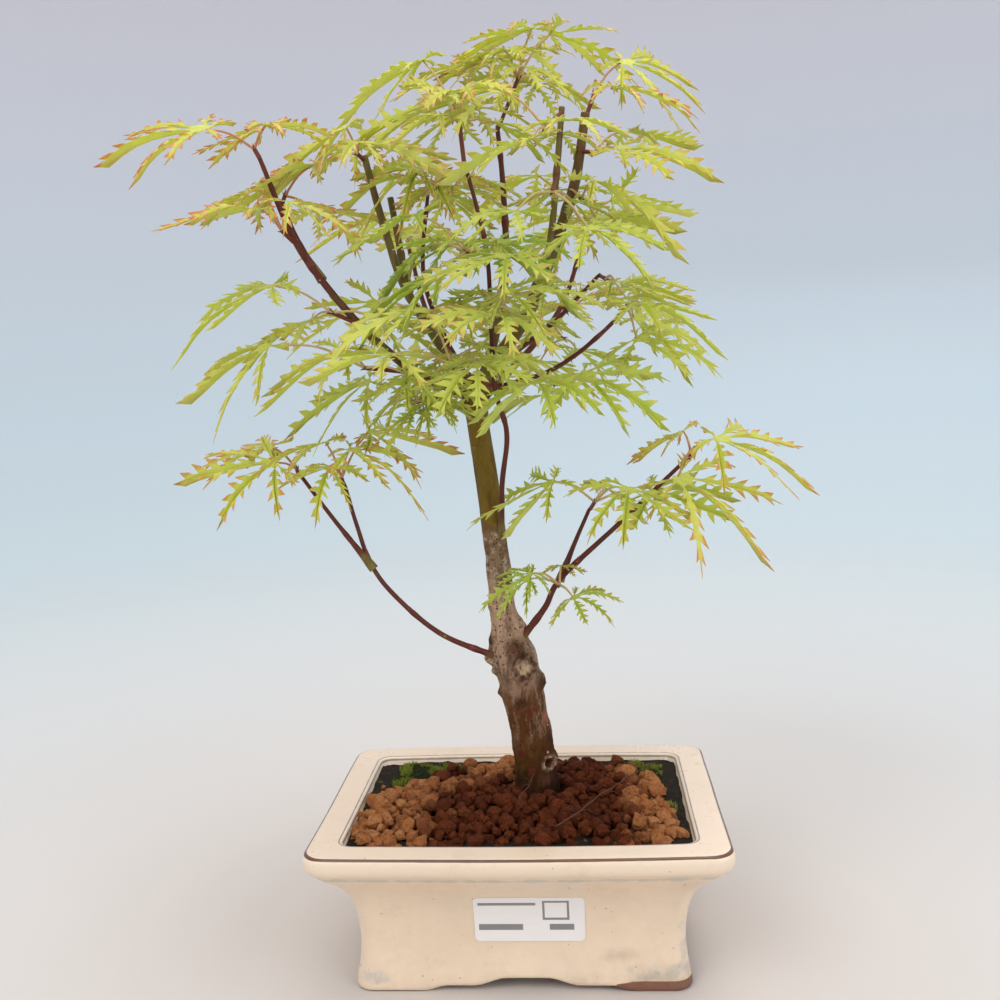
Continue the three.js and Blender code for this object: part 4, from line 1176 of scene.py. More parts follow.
# ------------------------------------------------------------------ what the pot holds
class BONSAI_OT_soil(bpy.types.Operator):
    """Model the dark crumbly soil that fills the pot"""

    bl_idname = "bonsai.soil"
    bl_label = "Soil"

    def execute(self, context):
        ring = pot_outline(SOIL_INSET, 5)
        points = [at(p.x, p.y, SOIL_BOTTOM) for p in ring]
        rows = 30
        for k in range(rows + 1):
            t = 1 - k / rows * 0.985
            for p in ring:
                x, y = p.x * t, p.y * t
                lump = noise.noise(Vector((x, y, 3)) * 0.09) * 1.1
                crumb = noise.noise(Vector((x, y, 8)) * 0.45) * 0.7
                points.append(at(x, y, SOIL_TOP + lump + crumb + 0.6))
        count = len(ring)
        last = (rows + 1) * count
        faces = [tuple(reversed(range(count))), *ring_faces(rows + 2, count),
                 tuple(range(last, last + count))]
        ground = context.scene.bonsai_ground
        obj = mesh_piece("soil_bed", points, faces, None, soil_material(ground))
        recalculate_normals(obj)
        stands_for(obj, "soil", "soil")
        return {"FINISHED"}


# Kinds of stone, flat facets on each kind, and how far from a stone's middle they are cut.
STONE_KINDS, STONE_FACETS, FACET_AT = 9, 9, 0.7
# The gap left for the trunk: x, y and radius, in millimetres.
TRUNK_GAP = (7.5, 2, 12.6)
# Stones that lie on the heap by themselves: x, y, height over the soil and radius.
LOOSE_STONES = [
    (46, 37, 5.6, 4.6), (-40, 18, 6.0, 4.8), (50, 20, 6.5, 5.2), (-50, -6, 6.0, 5.8),
    (-28, 33, 6.2, 4.8), (-8, 36, 6.2, 5.0), (57, -20, 5.0, 4.8), (-36, 30, 5.6, 4.4),
    (34, -38, 4.6, 4.6), (-60, -30, 4.4, 5.0), (-66, -8, 4.0, 4.6), (62, 4, 4.6, 5.0),
]
# How many crumbs of clay lie on the soil beside the heap.
GRIT_COUNT = 46
# The rows of a triangular grid lie this share of its pitch apart.
ROW_PITCH = 0.87
# Moss shoots tried on each square millimetre.
MOSS_SHOOTS_PER_AREA = 3.0


def heap_height(outline, x, y, top):
    """Height of the granule heap above the soil at a place, in millimetres."""
    inside = min(1.0, edge_distance(outline, x, y) / 36)
    return 1.6 + (top - 1.6) * (1 - (1 - inside) ** 1.8)


def dryness_at(x, y, rng):
    """How dry a granule is: the heap's ends and back left are dry, the middle is damp."""
    wander = noise.noise(Vector((x, y, 5)) * 0.05) * 12 + rng.uniform(-7, 7)
    left = (-33 - x + wander) / 14
    right = (x - 45 + wander * 0.8) / 12
    back = min((y - 6 + wander) / 12, (2 - x) / 10, (x + 34) / 8)
    return within(max(left, right, back))


def stone_kind(k, rng):
    """Points and faces of one kind of stone: a lumpy ball with facets cut off it."""
    bpy.ops.object.select_all(action="DESELECT")
    bpy.ops.mesh.primitive_ico_sphere_add(subdivisions=2, radius=1)
    stone = bpy.context.object
    squash = Vector((rng.uniform(0.85, 1.25), rng.uniform(0.8, 1.05), rng.uniform(0.65, 0.9)))
    cuts = [Vector([rng.gauss(0, 1) for _ in range(3)]).normalized()
            for _ in range(STONE_FACETS)]
    shape = []
    for vertex in stone.data.vertices:
        p = vertex.co.copy()
        lump = 0.5 * noise.noise(p * 1.2 + Vector((k * 7, 0, 0)))
        knob = 0.42 * noise.noise(p * 3.1 + Vector((0, k * 5, 0)))
        q = Vector(a * b for a, b in zip(p * (1 + lump + knob), squash))
        for cut in cuts:
            q -= cut * max(0.0, q.dot(cut) - FACET_AT) * 0.95
        shape.append(q)
    sides = [tuple(face.vertices) for face in stone.data.polygons]
    bpy.data.objects.remove(stone)
    return shape, sides


class BONSAI_OT_granules(bpy.types.Operator):
    """Heap the loose clay granules round the trunk"""

    bl_idname = "bonsai.granules"
    bl_label = "Clay granules"

    def execute(self, context):
        ground = context.scene.bonsai_ground
        rng = random.Random(4)
        kinds = [stone_kind(k, rng) for k in range(STONE_KINDS)]
        outline = closed_outline(HEAP, 14)
        points, faces, dry, tint = [], [], [], []
        size = ground.granule_size / MM
        top = ground.mound_height / MM

        def drop(x, y, z, radius):
            shape, sides = rng.choice(kinds)
            spin = (Matrix.Rotation(rng.uniform(0, TURN), 3, "Z")
                    @ Matrix.Rotation(rng.uniform(0, TURN), 3, "X"))
            first = len(points)
            dampness, shade = dryness_at(x, y, rng), rng.random()
            for p in shape:
                points.append(at(*(Vector((x, y, z)) + (spin @ p) * radius)))
            faces.extend(shifted(sides, first))
            dry.extend([dampness] * len(shape))
            tint.extend([shade] * len(shape))

        for layer, (pitch, sink) in enumerate(((5.2, 3.2), (5.9, 0.0))):
            rows = int(2 * BED_Y / pitch / ROW_PITCH)
            for r in range(-1, rows + 2):
                for c in range(-1, int(2 * BED_X / pitch) + 2):
                    x = -BED_X + (c + 0.5 * (r % 2)) * pitch + rng.uniform(-1.5, 1.5)
                    y = -BED_Y + r * pitch * ROW_PITCH + rng.uniform(-1.5, 1.5)
                    if not inside_outline(outline, x, y) or rng.random() < 0.16 * layer:
                        continue
                    if math.hypot(x - TRUNK_GAP[0], y - TRUNK_GAP[1]) < TRUNK_GAP[2]:
                        continue
                    height = heap_height(outline, x, y, top)
                    radius = size * 0.5 * rng.uniform(0.6, 1.45)
                    drop(x, y, SOIL_TOP + height - sink + rng.uniform(-1.2, 1.3), radius)
        for x, y, z, radius in LOOSE_STONES:
            drop(x, y, SOIL_TOP + z, radius)
        for _ in range(GRIT_COUNT):
            x, y = rng.uniform(-BED_X, BED_X), rng.uniform(-BED_Y, BED_Y)
            if not inside_outline(outline, x, y):
                drop(x, y, SOIL_TOP + 0.9, rng.uniform(0.6, 1.5))
        obj = mesh_piece("clay_granule_heap", points, faces, {"dryness": dry, "tint": tint},
                         granule_material(ground), smooth=30)
        stands_for(obj, "granules", "clay_granules")
        return {"FINISHED"}


class BONSAI_OT_moss(bpy.types.Operator):
    """Grow the cushions of moss in the corners of the bed"""

    bl_idname = "bonsai.moss"
    bl_label = "Moss"

    def execute(self, context):
        ground = context.scene.bonsai_ground
        material = moss_material(ground)
        rng = random.Random(11)
        for name, shares in MOSS.items():
            outline = closed_outline(shares, 10)
            xs, ys = [p.x for p in outline], [p.y for p in outline]
            points, tip, tint = [], [], []
            count = len(outline)
            middle = sum(outline, Vector((0, 0))) / count
            rings = [(1.0, -0.6), (0.93, 1.0), (0.7, 1.9), (0.4, 2.4), (0.08, 2.6)]
            # The cushion's points get a tip of 0, which the material paints as dark shade under the
            # shoots.
            for share_out, z in rings:
                for p in outline:
                    q = middle + (p - middle) * share_out
                    lump = 0.9 * noise.noise(Vector((q.x, q.y, 1)) * 0.3)
                    points.append(at(q.x, q.y, SOIL_TOP + z + max(-0.4, lump)))
                    tip.append(0.0)
                    tint.append(0)
            faces = ring_faces(len(rings), count)
            faces.append(tuple(reversed(range(count))))
            faces.append(tuple(range((len(rings) - 1) * count, len(rings) * count)))
            area = (max(xs) - min(xs)) * (max(ys) - min(ys))
            for _ in range(int(area * MOSS_SHOOTS_PER_AREA)):
                x, y = rng.uniform(min(xs), max(xs)), rng.uniform(min(ys), max(ys))
                if not inside_outline(outline, x, y):
                    continue
                patch = noise.noise(Vector((x, y, 2)) * 0.16)
                if patch < 0.1 and rng.random() < 0.95:
                    continue
                depth = min(1.0, edge_distance(outline, x, y) / 6)
                base = SOIL_TOP + 0.3 + 1.5 * depth
                tall = rng.uniform(1.0, 2.6) * (0.8 + patch)
                lean = Vector((rng.uniform(-1.2, 1.2), rng.uniform(-1.2, 1.2)))
                shade = within(0.5 + patch + rng.uniform(-0.3, 0.3))
                first, turn = len(points), rng.uniform(0, TURN)
                for i in range(3):
                    a = turn + i * THIRD_TURN
                    points.append(at(x + 0.42 * math.cos(a), y + 0.42 * math.sin(a), base))
                    tip.append(0.1)
                points.append(at(x + lean.x, y + lean.y, base + tall))
                tip.append(1.0)
                tint.extend([shade] * 4)
                faces += [(first, first + 1, first + 3), (first + 1, first + 2, first + 3),
                          (first + 2, first, first + 3), (first + 2, first + 1, first)]
            obj = mesh_piece(name + "_cushion", points, faces, {"tip": tip, "tint": tint},
                             material, smooth=None)
            stands_for(obj, "moss", name)
        return {"FINISHED"}


class BONSAI_OT_nets(bpy.types.Operator):
    """Give the plastic nets over the drain holes their finish"""

    bl_idname = "bonsai.nets"
    bl_label = "Drain nets"

    def execute(self, context):
        material = net_material()
        for node in ("drain_net_left", "drain_net_right"):
            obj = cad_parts[node]
            for slot in obj.material_slots:
                slot.material = material
        return {"FINISHED"}


class BONSAI_OT_rootlets(bpy.types.Operator):
    """Lay the thin dry roots on the granules"""

    bl_idname = "bonsai.rootlets"
    bl_label = "Dry roots"

    def execute(self, context):
        material = root_material()
        rng = random.Random(2)
        for name, (side_roots, line) in ROOTLETS.items():
            parts = [line]
            for k in range(side_roots):
                start = Vector(line[min(k + 1, len(line) - 2)])
                turn = rng.uniform(0, TURN)
                tip = start + Vector((9 * math.cos(turn), 9 * math.sin(turn), -1))
                bend = (start + tip) / 2 + Vector((0, 0, 1.5))
                parts.append([tuple(start), tuple(bend), tuple(tip)])
            pieces = []
            for k, points in enumerate(parts):
                path = smooth_line([at(*p) for p in points], 0.0012)
                path = [p + Vector((noise.noise(p * 160), noise.noise(p * 160 + Vector((9, 0, 0))),
                                    0.4 * noise.noise(p * 150))) * 0.0012 for p in path]
                thick = 0.00034 if k == 0 else 0.00016
                shares = shares_along(path)
                shape = tube_shape(path, 6, lambda n, d: thick * (1.2 - 0.8 * shares[n]))
                pieces.append(mesh_piece("root", *shape, None, material))
            obj = join_pieces(name + "_strand", pieces)
            stands_for(obj, "dry_root", name)
        return {"FINISHED"}


# ------------------------------------------------------------------ wood
# Faces round the trunk and round a stem.
TRUNK_SIDES, STEM_SIDES = 84, 14


class BONSAI_OT_trunk(bpy.types.Operator):
    """Model the trunk with its knots, pruning scar and bark"""

    bl_idname = "bonsai.trunk"
    bl_label = "Trunk"

    def execute(self, context):
        wood = context.scene.bonsai_wood
        line = smooth_line([at(*p[:3]) for p in TRUNK], 1.25 * MM)
        heights = [p[2] for p in TRUNK]

        def plan_radius(z):
            for a, b in zip(TRUNK, TRUNK[1:]):
                if z <= b[2]:
                    return a[3] + (b[3] - a[3]) * smoothstep(z, a[2], b[2])
            return TRUNK[-1][3]

        ridge = wood.bark_depth / MM
        marks = []
        for angle, z, radius, out, kind in TRUNK_MARKS:
            a = math.radians(angle)
            marks.append((math.cos(a), math.sin(a), z, radius, out, kind))
        values = {key: [] for key in ("height", "wound", "bruise", "hollow_shade", "crust", "pink")}

        def radius_at(k, direction):
            centre = (line[k] - MIDDLE) / MM
            z = centre.z
            base = plan_radius(z)
            flat = Vector((direction.x, direction.y)).normalized()
            spot = centre + direction * base
            rough = 1.0 if z < 150 else max(0.25, 1 - (z - 150) / 60)
            out = ridge * rough * noise.noise(Vector((spot.x, spot.y, spot.z * 0.3)) * 0.45) * 1.4
            out += ridge * rough * noise.noise(spot * 0.9) * 0.7
            out += 0.8 * noise.noise(spot * 0.09) * rough
            root = max(0.0, 1 - (z - 58) / 20)
            out += root * 1.8 * max(0.0, math.cos(5 * math.atan2(flat.y, flat.x) + 0.8))
            found = dict.fromkeys(("wound", "bruise", "hollow_shade", "crust", "pink"), 0.0)

            def mark(key, amount):
                found[key] = max(found[key], min(1.0, amount))

            for cx, cy, mz, radius, high, kind in marks:
                facing = flat.x * cx + flat.y * cy
                if facing <= 0 or abs(z - mz) > 3 * radius:
                    continue
                sideways = base * math.acos(min(1.0, facing))
                d = math.hypot(sideways, z - mz) / radius
                if kind in ("burl", "bruise", "crust", "pink"):
                    bulge = math.exp(-1.3 * d * d)
                    out += high * bulge
                    if kind == "crust":
                        out += 0.9 * bulge * noise.noise(spot * 1.1)
                    if kind != "burl":
                        mark(kind, 1.15 * math.exp(-1.2 * d * d))
                else:
                    wobble = 1 + 0.4 * noise.noise(spot * 0.5)
                    rim = math.exp(-((d - 1.0 * wobble) / 0.26) ** 2)
                    inner = max(0.0, 1 - (d / 0.88) ** 6) if d < 0.88 else 0.0
                    out += high * rim * (1.1 if z < mz else 0.8)
                    if kind == "scar":
                        splinter = noise.noise(Vector((spot.x * 1.2, spot.y, spot.z * 0.35)))
                        out -= inner * (1.6 - 1.5 * splinter)
                        mark("wound", inner * (1.6 if z < mz + 0.6 else 0.9))
                        # Painted shade: a dark line in the crease just inside the scar's lip, and
                        # more shade over the upper part of the hollow.
                        mark("hollow_shade", 0.95 * math.exp(-((d - 0.84 * wobble) / 0.13) ** 2))
                        mark("hollow_shade", inner * smoothstep(z - mz, 0.3, 3.5) * 0.75)
                    else:
                        out -= inner * high * 1.3
                        mark("wound", rim * 0.8)
                        # Painted shade in the pit inside the ring.
                        mark("hollow_shade", inner if d < 0.55 else 0.0)
            values["height"].append((z - heights[0]) / (heights[-1] - heights[0]))
            for key, amount in found.items():
                values[key].append(amount)
            return (base + out) * MM

        points, faces = tube_shape(line, TRUNK_SIDES, radius_at)
        for key in values:
            values[key] += [values[key][0], values[key][-1]]
        obj = mesh_piece("bonsai_trunk", points, faces, values, trunk_material(wood))
        recalculate_normals(obj)
        stands_for(obj, "bark", "trunk")
        return {"FINISHED"}


def bud_scales(centre, ahead, size, rng):
    """Points and faces of three pointed bud scales round a twig's end or node."""
    points, faces = [], []
    across = ahead.orthogonal().normalized()
    for k in range(3):
        turn = Matrix.Rotation(2.1 * k + rng.uniform(-0.5, 0.5), 3, ahead)
        side = turn @ across
        beside = ahead.cross(side)
        root = centre + side * size * 0.35
        tip = centre + ahead * size * rng.uniform(1.3, 2.0) + side * size * rng.uniform(0.8, 1.3)
        first = len(points)
        points += [root - beside * size * 0.45, root + beside * size * 0.45,
                   root + side * size * 0.45 + ahead * size * 0.35, root - side * size * 0.3, tip]
        faces += [(first, first + 2, first + 4), (first + 2, first + 1, first + 4),
                  (first + 1, first + 3, first + 4), (first + 3, first, first + 4),
                  (first, first + 3, first + 1, first + 2)]
    return points, faces


class BONSAI_OT_stems(bpy.types.Operator):
    """Model the limbs and shoots with their nodes, buds and pruning cuts"""

    bl_idname = "bonsai.stems"
    bl_label = "Stems"

    def execute(self, context):
        wood = context.scene.bonsai_wood
        material = young_wood_material(wood)
        rng = random.Random(7)
        for name, (points, first, last, ripe, cut) in STEMS.items():
            line = smooth_line([at(*p) for p in points], 2.2 * MM)
            shares = shares_along(line)
            whole = sum((b - a).length for a, b in zip(line, line[1:])) / MM
            gap = rng.uniform(30, 40)
            joints = [gap * (k + 0.6) / whole for k in range(int(whole / gap))]
            joints = [j for j in joints if 0.06 < j < 0.96]
            values = {key: [] for key in ("ripe", "underside", "cut", "scale")}

            def radius_at(k, direction):
                t = shares[k]
                radius = first + (last - first) * t ** 0.8
                foot = math.exp(-(t * whole / 11) ** 2)
                collar = 1 + min(0.9, 1.2 / first) * foot
                swell = sum(math.exp(-(((t - j) * whole) / 1.6) ** 2) for j in joints)
                ring = sum(math.exp(-(((t - j) * whole - 2.4) / 0.7) ** 2) for j in joints)
                lump = 0.08 * noise.noise(line[k] * 130 + direction)
                end = 1.0 if cut or t < 0.995 else 0.6
                values["ripe"].append(ripe + (0.25 - 0.5 * t) * (1 if ripe > 0.2 else 0.2)
                                      + 0.6 * foot)
                values["underside"].append(0.5 - 0.5 * direction.z)
                values["cut"].append(0.0)
                values["scale"].append(0.45 * min(1.0, ring))
                return radius * collar * (1 + 0.24 * swell + 0.14 * ring + lump) * end * MM

            shape, faces = tube_shape(line, STEM_SIDES, radius_at)
            for key in values:
                values[key] += [values[key][0], values[key][-1]]
            values["cut"][-1] = 1.0 if cut else 0.0
            if cut:
                new, end = len(shape), len(shape) - 1
                rim = end - 1 - STEM_SIDES
                centre, ahead = shape[end], (line[-1] - line[-2]).normalized()
                shape += [centre + (p - centre) * 0.86 + ahead * 0.0002
                          for p in shape[rim:rim + STEM_SIDES]]
                shape[end] = centre + ahead * 0.0003
                faces = [f for f in faces if end not in f]
                for i in range(STEM_SIDES):
                    j = (i + 1) % STEM_SIDES
                    faces += [(rim + i, rim + j, new + j, new + i), (end, new + i, new + j)]
                for key in values:
                    values[key] += [values[key][rim]] * STEM_SIDES
                values["cut"][new:] = [1.0] * STEM_SIDES
            for j in joints:
                k = min(range(len(shares)), key=lambda n: abs(shares[n] - j))
                ahead = (line[min(k + 1, len(line) - 1)] - line[max(0, k - 1)]).normalized()
                size = (first + (last - first) * j) * 0.85 + 0.35
                bud, bud_faces = bud_scales(line[k] + ahead * 0.001, ahead, size * MM, rng)
                base = len(shape)
                shape += bud
                faces += shifted(bud_faces, base)
                for key in values:
                    values[key] += [1.0 if key == "scale" else 0.0] * len(bud)
            obj = mesh_piece(name + "_wood", shape, faces, values, material)
            stands_for(obj, "young_wood", name)
        return {"FINISHED"}


# ------------------------------------------------------------------ leaves
def lobe_width(t):
    """Half width of a lobe along its length, from 0 to 1: narrow foot, long drawn-out tip."""
    if t < 0.48:
        return 0.16 + 0.84 * math.sin(t / 0.48 * math.pi / 2) ** 1.8
    return max(0.05, math.cos((t - 0.48) / 0.52 * math.pi / 2) ** 1.15)


def flat_leaf(leaf, rng):
    """One flat leaf of length 1 that points along X: its points as (x, y, edge, along, lobe,
    lift) and its faces. Each side of a lobe has a row of long teeth that point forward."""
    points, faces = [(0.0, 0.0, 0.0, 0.0, 0, 0.0)], []
    webs = []
    for i in range(len(LOBES) + 1):
        if i in (0, len(LOBES)):
            angle = LOBES[0][0] - 50 if i == 0 else LOBES[-1][0] + 50
            reach = 0.03
        else:
            angle = (LOBES[i - 1][0] + LOBES[i][0]) / 2
            reach = 0.13 * min(LOBES[i - 1][1], LOBES[i][1]) + 0.01
        a = math.radians(angle)
        webs.append(len(points))
        points.append((reach * math.cos(a), reach * math.sin(a), 0.7, 0.1, i, 0.0))
    for i, (angle, size) in enumerate(LOBES):
        angle += rng.uniform(-7, 7)
        size *= rng.uniform(0.88, 1.08)
        teeth = max(3, round(5.4 * size ** 0.7))
        twist = rng.uniform(-1.1, 1.1)
        bend = rng.uniform(-0.12, 0.12) + 0.0008 * angle
        a = math.radians(angle)
        ahead, side = Vector((math.cos(a), math.sin(a))), Vector((-math.sin(a), math.cos(a)))
        wide = leaf.lobe_width * size ** 0.55 * rng.uniform(0.85, 1.12)

        def spot(t, across):
            t = min(t, 0.99)
            p = ahead * (t * size) + side * (across + bend * size * t * t)
            return p.x, p.y

        def outline(t, across, edge, lift=0.0):
            points.append((*spot(t, across), edge, t, i, lift + twist * t * across))
            return len(points) - 1

        steps = [TEETH_FROM + (TEETH_TO - TEETH_FROM) * (k / teeth) ** 0.9
                 for k in range(teeth + 1)]
        mids, sides = [], {1: [], -1: []}
        for t in steps:
            mids.append(len(points))
            points.append((*spot(t, 0), 0.0, t, i, 0.0))
            narrow = wide * lobe_width(t) * (1 - leaf.tooth_depth) * rng.uniform(0.85, 1.1)
            for s in (1, -1):
                sides[s].append(outline(t, s * narrow, 0.66))
        for s in (1, -1):
            rim = sides[s]
            for k in range(teeth):
                quad = (mids[k], mids[k + 1], rim[k + 1], rim[k])
                gap = steps[k + 1] - steps[k]
                out = wide * lobe_width((steps[k] + steps[k + 1]) / 2) * rng.uniform(0.75, 1.25)
                lift = rng.uniform(-0.012, 0.014)
                core = wide * lobe_width(steps[k]) * (1 - leaf.tooth_depth)
                foot = outline(steps[k] + gap * rng.uniform(0.3, 0.45), s * core * 1.1, 0.68)
                elbow = outline(steps[k] + gap * rng.uniform(0.68, 0.8), s * out * 0.6, 0.9, lift)
                tooth = outline(steps[k + 1] + gap * rng.uniform(0.15, 0.5), s * out, 1.0, lift)
                barbs = [(rim[k], rim[k + 1], foot), (foot, rim[k + 1], elbow),
                         (elbow, rim[k + 1], tooth)]
                faces += [f if s > 0 else f[::-1] for f in (quad, *barbs)]
        tip = outline(1.0, 0, 1.0)
        faces += [(mids[-1], tip, sides[1][-1]), (mids[-1], sides[-1][-1], tip)]
        faces += [(0, mids[0], sides[1][0], webs[i + 1]), (0, webs[i], sides[-1][0], mids[0])]
    return points, faces


def set_leaf(model, leaf, spot, red, deep, rng):
    """Sets one copy of a flat leaf in its place: tilted, drooping and a little crumpled."""
    x, y, z, heading, size = spot
    turn, tilt = math.radians(heading), math.radians(BLADE_TILT + rng.uniform(-14, 10))
    ahead = Vector((math.cos(turn) * math.cos(tilt), math.sin(turn) * math.cos(tilt),
                    -math.sin(tilt)))
    lean = 17 * math.cos(turn) * (1 if y < 30 else -1)
    roll = math.radians(lean + rng.uniform(-18, 18))
    side = Vector((-math.sin(turn), math.cos(turn), 0))
    up = ahead.cross(side)
    side, up = (side * math.cos(roll) + up * math.sin(roll),
                up * math.cos(roll) - side * math.sin(roll))
    droop = leaf.droop * rng.uniform(0.5, 1.5)
    curls = [(rng.uniform(0.0, 1.6), rng.uniform(0, TURN), rng.uniform(-0.35, 0.35))
             for _ in LOBES]
    points, values = [], {key: [] for key in ("edge", "along", "redness", "depth")}
    flat, faces = model
    for px, py, edge, along, lobe, lift in flat:
        fall, phase, twist = curls[min(lobe, len(LOBES) - 1)]
        reach = math.hypot(px, py)
        p = ahead * px + side * py
        ripple = 0.02 * math.sin(8 * reach + phase) * reach
        fold = 0.045 * edge * min(1.0, reach * 3)
        cup = 0.06 * math.sin(2.5 * math.atan2(py, px) + phase) * reach
        p += up * (ripple + fold + lift + cup + twist * reach * (edge - 0.4) * 0.2)
        p.z -= droop * reach ** 2 * (0.6 + 0.4 * fall) + 0.09 * fall * along ** 4
        points.append(at(x, y, z) + p * size * MM)
        for key, value in zip(values, (edge, along, red, deep)):
            values[key].append(value)
    return points, faces, values


def young_leaf_count(bud):
    """How many lesser leaves a shoot has: most in the crown's middle, none at its sides."""
    if not -80 <= bud[0] <= 40:
        return 0
    return 6 if bud[2] > 240 and -46 < bud[0] < 20 else 1


def young_leaves(bud, spots, rng):
    """Lesser leaves close to a shoot's end bud, in the gaps between its own leaves."""
    taken = [spot[3] for spot in spots]
    middle = sum(spot[4] for spot in spots) / len(spots)
    found = []
    for _ in range(young_leaf_count(bud)):
        heading = max((rng.uniform(0, 360) for _ in range(14)), key=lambda a: min(
            abs((a - b + 180) % 360 - 180) for b in taken))
        taken.append(heading)
        size = middle * rng.uniform(0.62, 0.88)
        turn, away = math.radians(heading), rng.uniform(9, 20)
        found.append((bud[0] + away * math.cos(turn), bud[1] + away * math.sin(turn),
                      bud[2] + rng.uniform(-5, 10), heading, size))
    return found


class BONSAI_OT_leaves(bpy.types.Operator):
    """Grow the leafy shoots: twig, buds, leaf stalks and toothed leaves"""

    bl_idname = "bonsai.leaves"
    bl_label = "Leafy shoots"

    def execute(self, context):
        leaf, wood = context.scene.bonsai_leaf, context.scene.bonsai_wood
        blade_finish, stalk_finish = leaf_material(leaf), stalk_material(leaf, wood)
        rng = random.Random(20)
        models = [flat_leaf(leaf, rng) for _ in range(LEAF_MODELS)]
        for name, (start, bud, redness, depth, spots) in SHOOTS.items():
            points, faces = [], []
            values = {key: [] for key in ("edge", "along", "redness", "depth")}
            stalk_points, stalk_faces = [], []
            stalk_values = {"twig": [], "redness": []}

            def add_stalk(shape, sides, twig):
                base = len(stalk_points)
                stalk_points.extend(shape)
                stalk_faces.extend(shifted(sides, base))
                stalk_values["twig"].extend([twig] * len(shape))
                stalk_values["redness"].extend([redness] * len(shape))

            twig_line = smooth_line([at(*start), at(*bud)], 3 * MM)
            add_stalk(*tube_shape(twig_line, 8, lambda k, d: 0.95 * MM), 1.0)
            ahead = (twig_line[-1] - twig_line[0]).normalized()
            add_stalk(*bud_scales(at(*bud), ahead, 1.5 * MM, rng), 1.0)
            for spot in (*spots, *young_leaves(bud, spots, rng)):
                red = within(redness + rng.uniform(-0.2, 0.2))
                deep = within(depth + rng.uniform(-0.1, 0.15))
                blade, sides, given = set_leaf(rng.choice(models), leaf, spot, red, deep, rng)
                base = len(points)
                points.extend(blade)
                faces.extend(shifted(sides, base))
                for key in values:
                    values[key] += given[key]
                a, b = at(*bud), at(*spot[:3])
                reach = (b - a).length
                bend = (a + b) / 2 + Vector((0, 0, 0.1 * reach))
                path = smooth_line([a, bend, b], 3 * MM)
                shares = shares_along(path)
                add_stalk(*tube_shape(path, 7, lambda k, d: (0.62 - 0.22 * shares[k]) * MM), 0.0)
            blades = mesh_piece(name + "_leaves", points, faces, values, blade_finish,
                                smooth=None)
            apply_modifier(blades, "SOLIDIFY", thickness=leaf.thickness, offset=0)
            shade_smooth(blades, 50)
            stalks = mesh_piece(name + "_stalks", stalk_points, stalk_faces, stalk_values,
                                stalk_finish)
            obj = join_pieces(name + "_leaves", [blades, stalks])
            stands_for(obj, "leaf", name)
        return {"FINISHED"}


# ------------------------------------------------------------------ stage
# Lamps: name, place in metres, width, power in watts and colour.
LAMPS = [
    ("key", (-1.0, -1.3, 1.75), 1.4, 19, (1.0, 0.985, 0.96)),
    ("fill", (1.45, -1.0, 1.1), 1.5, 12.5, (0.95, 0.98, 1.0)),
    ("overhead", (0.1, 0.1, 2.2), 1.7, 20.5, (1.0, 1.0, 1.0)),
    ("behind", (0.6, 1.6, 1.3), 1.2, 3, (1.0, 1.0, 1.0)),
]
# The camera: its place in the tree's plan, its focal length in millimetres, and how far it
# looks down, is turned left and is rolled, in degrees.
CAMERA_PLACE, CAMERA_LENS = (31.5, -497.9, 271), 39.6
CAMERA_DOWN, CAMERA_LEFT, CAMERA_ROLL = 7.0, 4.2, 2.3
# The floor curves up from this radius, by this radius, in so many steps, in metres.
FLOOR_RADIUS, FLOOR_BEND, FLOOR_STEPS = 1.0, 1.9, 18


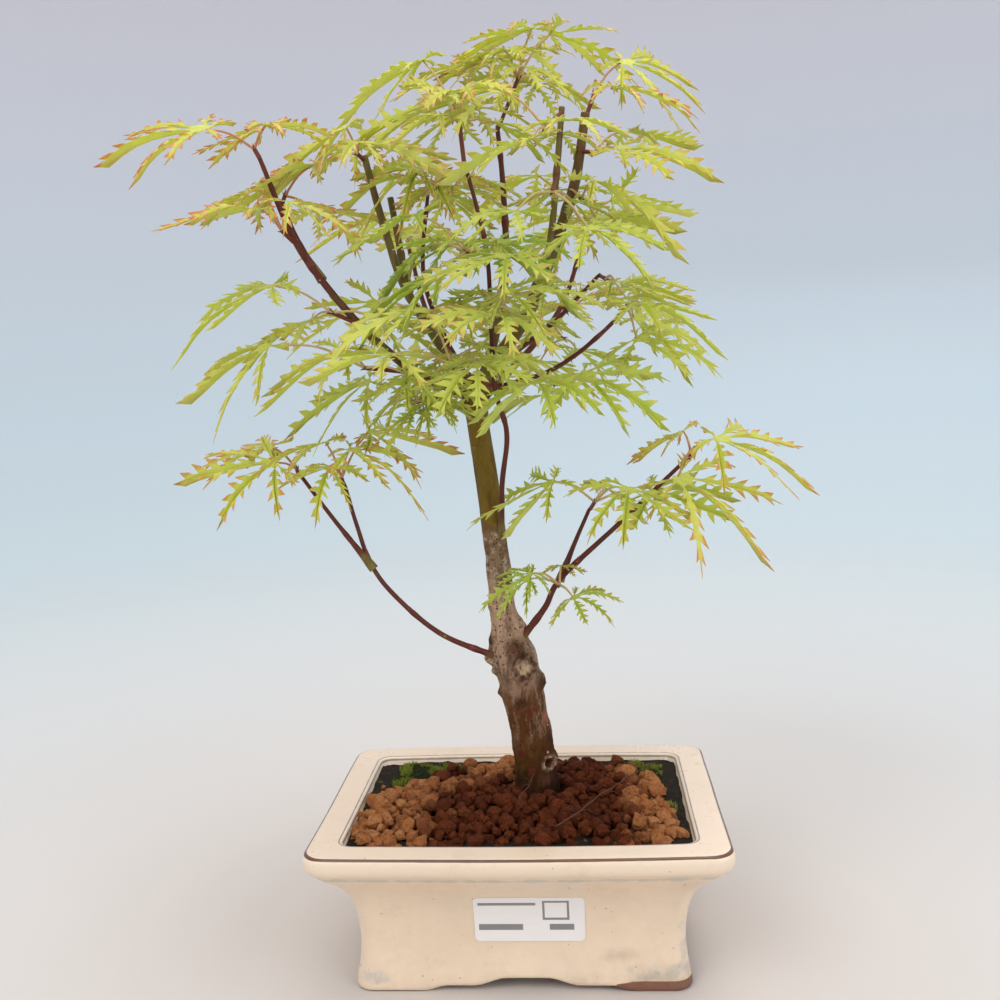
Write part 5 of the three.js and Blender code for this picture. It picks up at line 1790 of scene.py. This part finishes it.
class BONSAI_OT_stage(bpy.types.Operator):
    """Set up the pale floor, the soft light and the camera"""

    bl_idname = "bonsai.stage"
    bl_label = "Stage"

    def execute(self, context):
        scene = context.scene
        bpy.ops.object.select_all(action="DESELECT")
        bpy.ops.mesh.primitive_circle_add(vertices=96, radius=FLOOR_RADIUS, fill_type="NGON")
        floor = context.object
        floor.name = "pale_floor"
        bpy.ops.object.mode_set(mode="EDIT")
        bpy.ops.mesh.select_all(action="SELECT")
        bpy.ops.mesh.region_to_loop()
        radius, height = FLOOR_RADIUS, 0.0
        for k in range(1, FLOOR_STEPS + 1):
            a = math.radians(90 * k / FLOOR_STEPS)
            wide, tall = FLOOR_RADIUS + FLOOR_BEND * math.sin(a), FLOOR_BEND * (1 - math.cos(a))
            bpy.ops.mesh.extrude_region_move(
                TRANSFORM_OT_translate={"value": (0, 0, tall - height)})
            grow = wide / radius
            bpy.ops.transform.resize(value=(grow, grow, 1), center_override=(0, 0, tall))
            radius, height = wide, tall
        bpy.ops.mesh.extrude_region_move(TRANSFORM_OT_translate={"value": (0, 0, 0.8)})
        bpy.ops.mesh.select_all(action="SELECT")
        bpy.ops.mesh.normals_make_consistent(inside=True)
        bpy.ops.object.mode_set(mode="OBJECT")
        shade_smooth(floor, 40)
        floor.data.materials.append(floor_material())

        target = at(0, 0, 190)
        for name, place_at, size, energy, tint in LAMPS:
            lamp = bpy.data.lights.new(name, "AREA")
            lamp.shape, lamp.size, lamp.energy, lamp.color = "DISK", size, energy, tint
            obj = bpy.data.objects.new(name, lamp)
            scene.collection.objects.link(obj)
            obj.location = place_at
            obj.rotation_euler = (target - obj.location).to_track_quat("-Z", "Y").to_euler()
        world = bpy.data.worlds.new("Soft room")
        world.use_nodes = True
        sky = world.node_tree.nodes["Background"].inputs
        sky["Color"].default_value = (0.98, 0.99, 1.0, 1)
        sky["Strength"].default_value = 0.48
        scene.world = world
        scene.view_settings.view_transform = "Standard"

        lens = bpy.data.cameras.new("view")
        lens.sensor_width, lens.lens = 36, CAMERA_LENS
        lens.clip_start, lens.clip_end = 0.01, 50
        camera = bpy.data.objects.new("view", lens)
        scene.collection.objects.link(camera)
        pitch, yaw, roll = (math.radians(a) for a in (CAMERA_DOWN, CAMERA_LEFT, CAMERA_ROLL))
        ahead = Vector((-math.sin(yaw) * math.cos(pitch), math.cos(yaw) * math.cos(pitch),
                        -math.sin(pitch)))
        right = ahead.cross(Vector((0, 0, 1))).normalized()
        above = right.cross(ahead)
        tipped_right = right * math.cos(roll) - above * math.sin(roll)
        tipped_above = above * math.cos(roll) + right * math.sin(roll)
        turn = Matrix((tipped_right, tipped_above, -ahead)).transposed()
        camera.matrix_world = Matrix.Translation(at(*CAMERA_PLACE)) @ turn.to_4x4()
        scene.camera = camera
        return {"FINISHED"}


OPERATORS = [
    BONSAI_OT_pot, BONSAI_OT_label, BONSAI_OT_soil, BONSAI_OT_granules, BONSAI_OT_moss,
    BONSAI_OT_nets, BONSAI_OT_rootlets, BONSAI_OT_trunk, BONSAI_OT_stems, BONSAI_OT_leaves,
    BONSAI_OT_stage,
]


class BONSAI_PT_panel(bpy.types.Panel):
    """Lists the sizes, the colours and the steps of the bonsai"""

    bl_idname = "BONSAI_PT_panel"
    bl_label = "Bonsai"
    bl_space_type = "VIEW_3D"
    bl_region_type = "UI"
    bl_category = "Bonsai"

    def draw(self, context):
        for key, group in GROUPS.items():
            box = self.layout.box()
            box.label(text=group.__doc__)
            for name in group.__annotations__:
                box.prop(getattr(context.scene, key), name)
        for operator in OPERATORS:
            self.layout.operator(operator.bl_idname)


def register():
    """Registers the add-on's classes and settings."""
    for item in (*GROUPS.values(), *OPERATORS, BONSAI_PT_panel):
        bpy.utils.register_class(item)
    for key, group in GROUPS.items():
        setattr(bpy.types.Scene, key, bpy.props.PointerProperty(type=group))


def unregister():
    """Removes the add-on's classes and settings."""
    for key in GROUPS:
        delattr(bpy.types.Scene, key)
    for item in (BONSAI_PT_panel, *reversed(OPERATORS), *reversed(GROUPS.values())):
        bpy.utils.unregister_class(item)


def main():
    register()
    for operator in OPERATORS:
        getattr(bpy.ops.bonsai, operator.bl_idname.split(".")[1])()


if __name__ == "__main__":
    main()
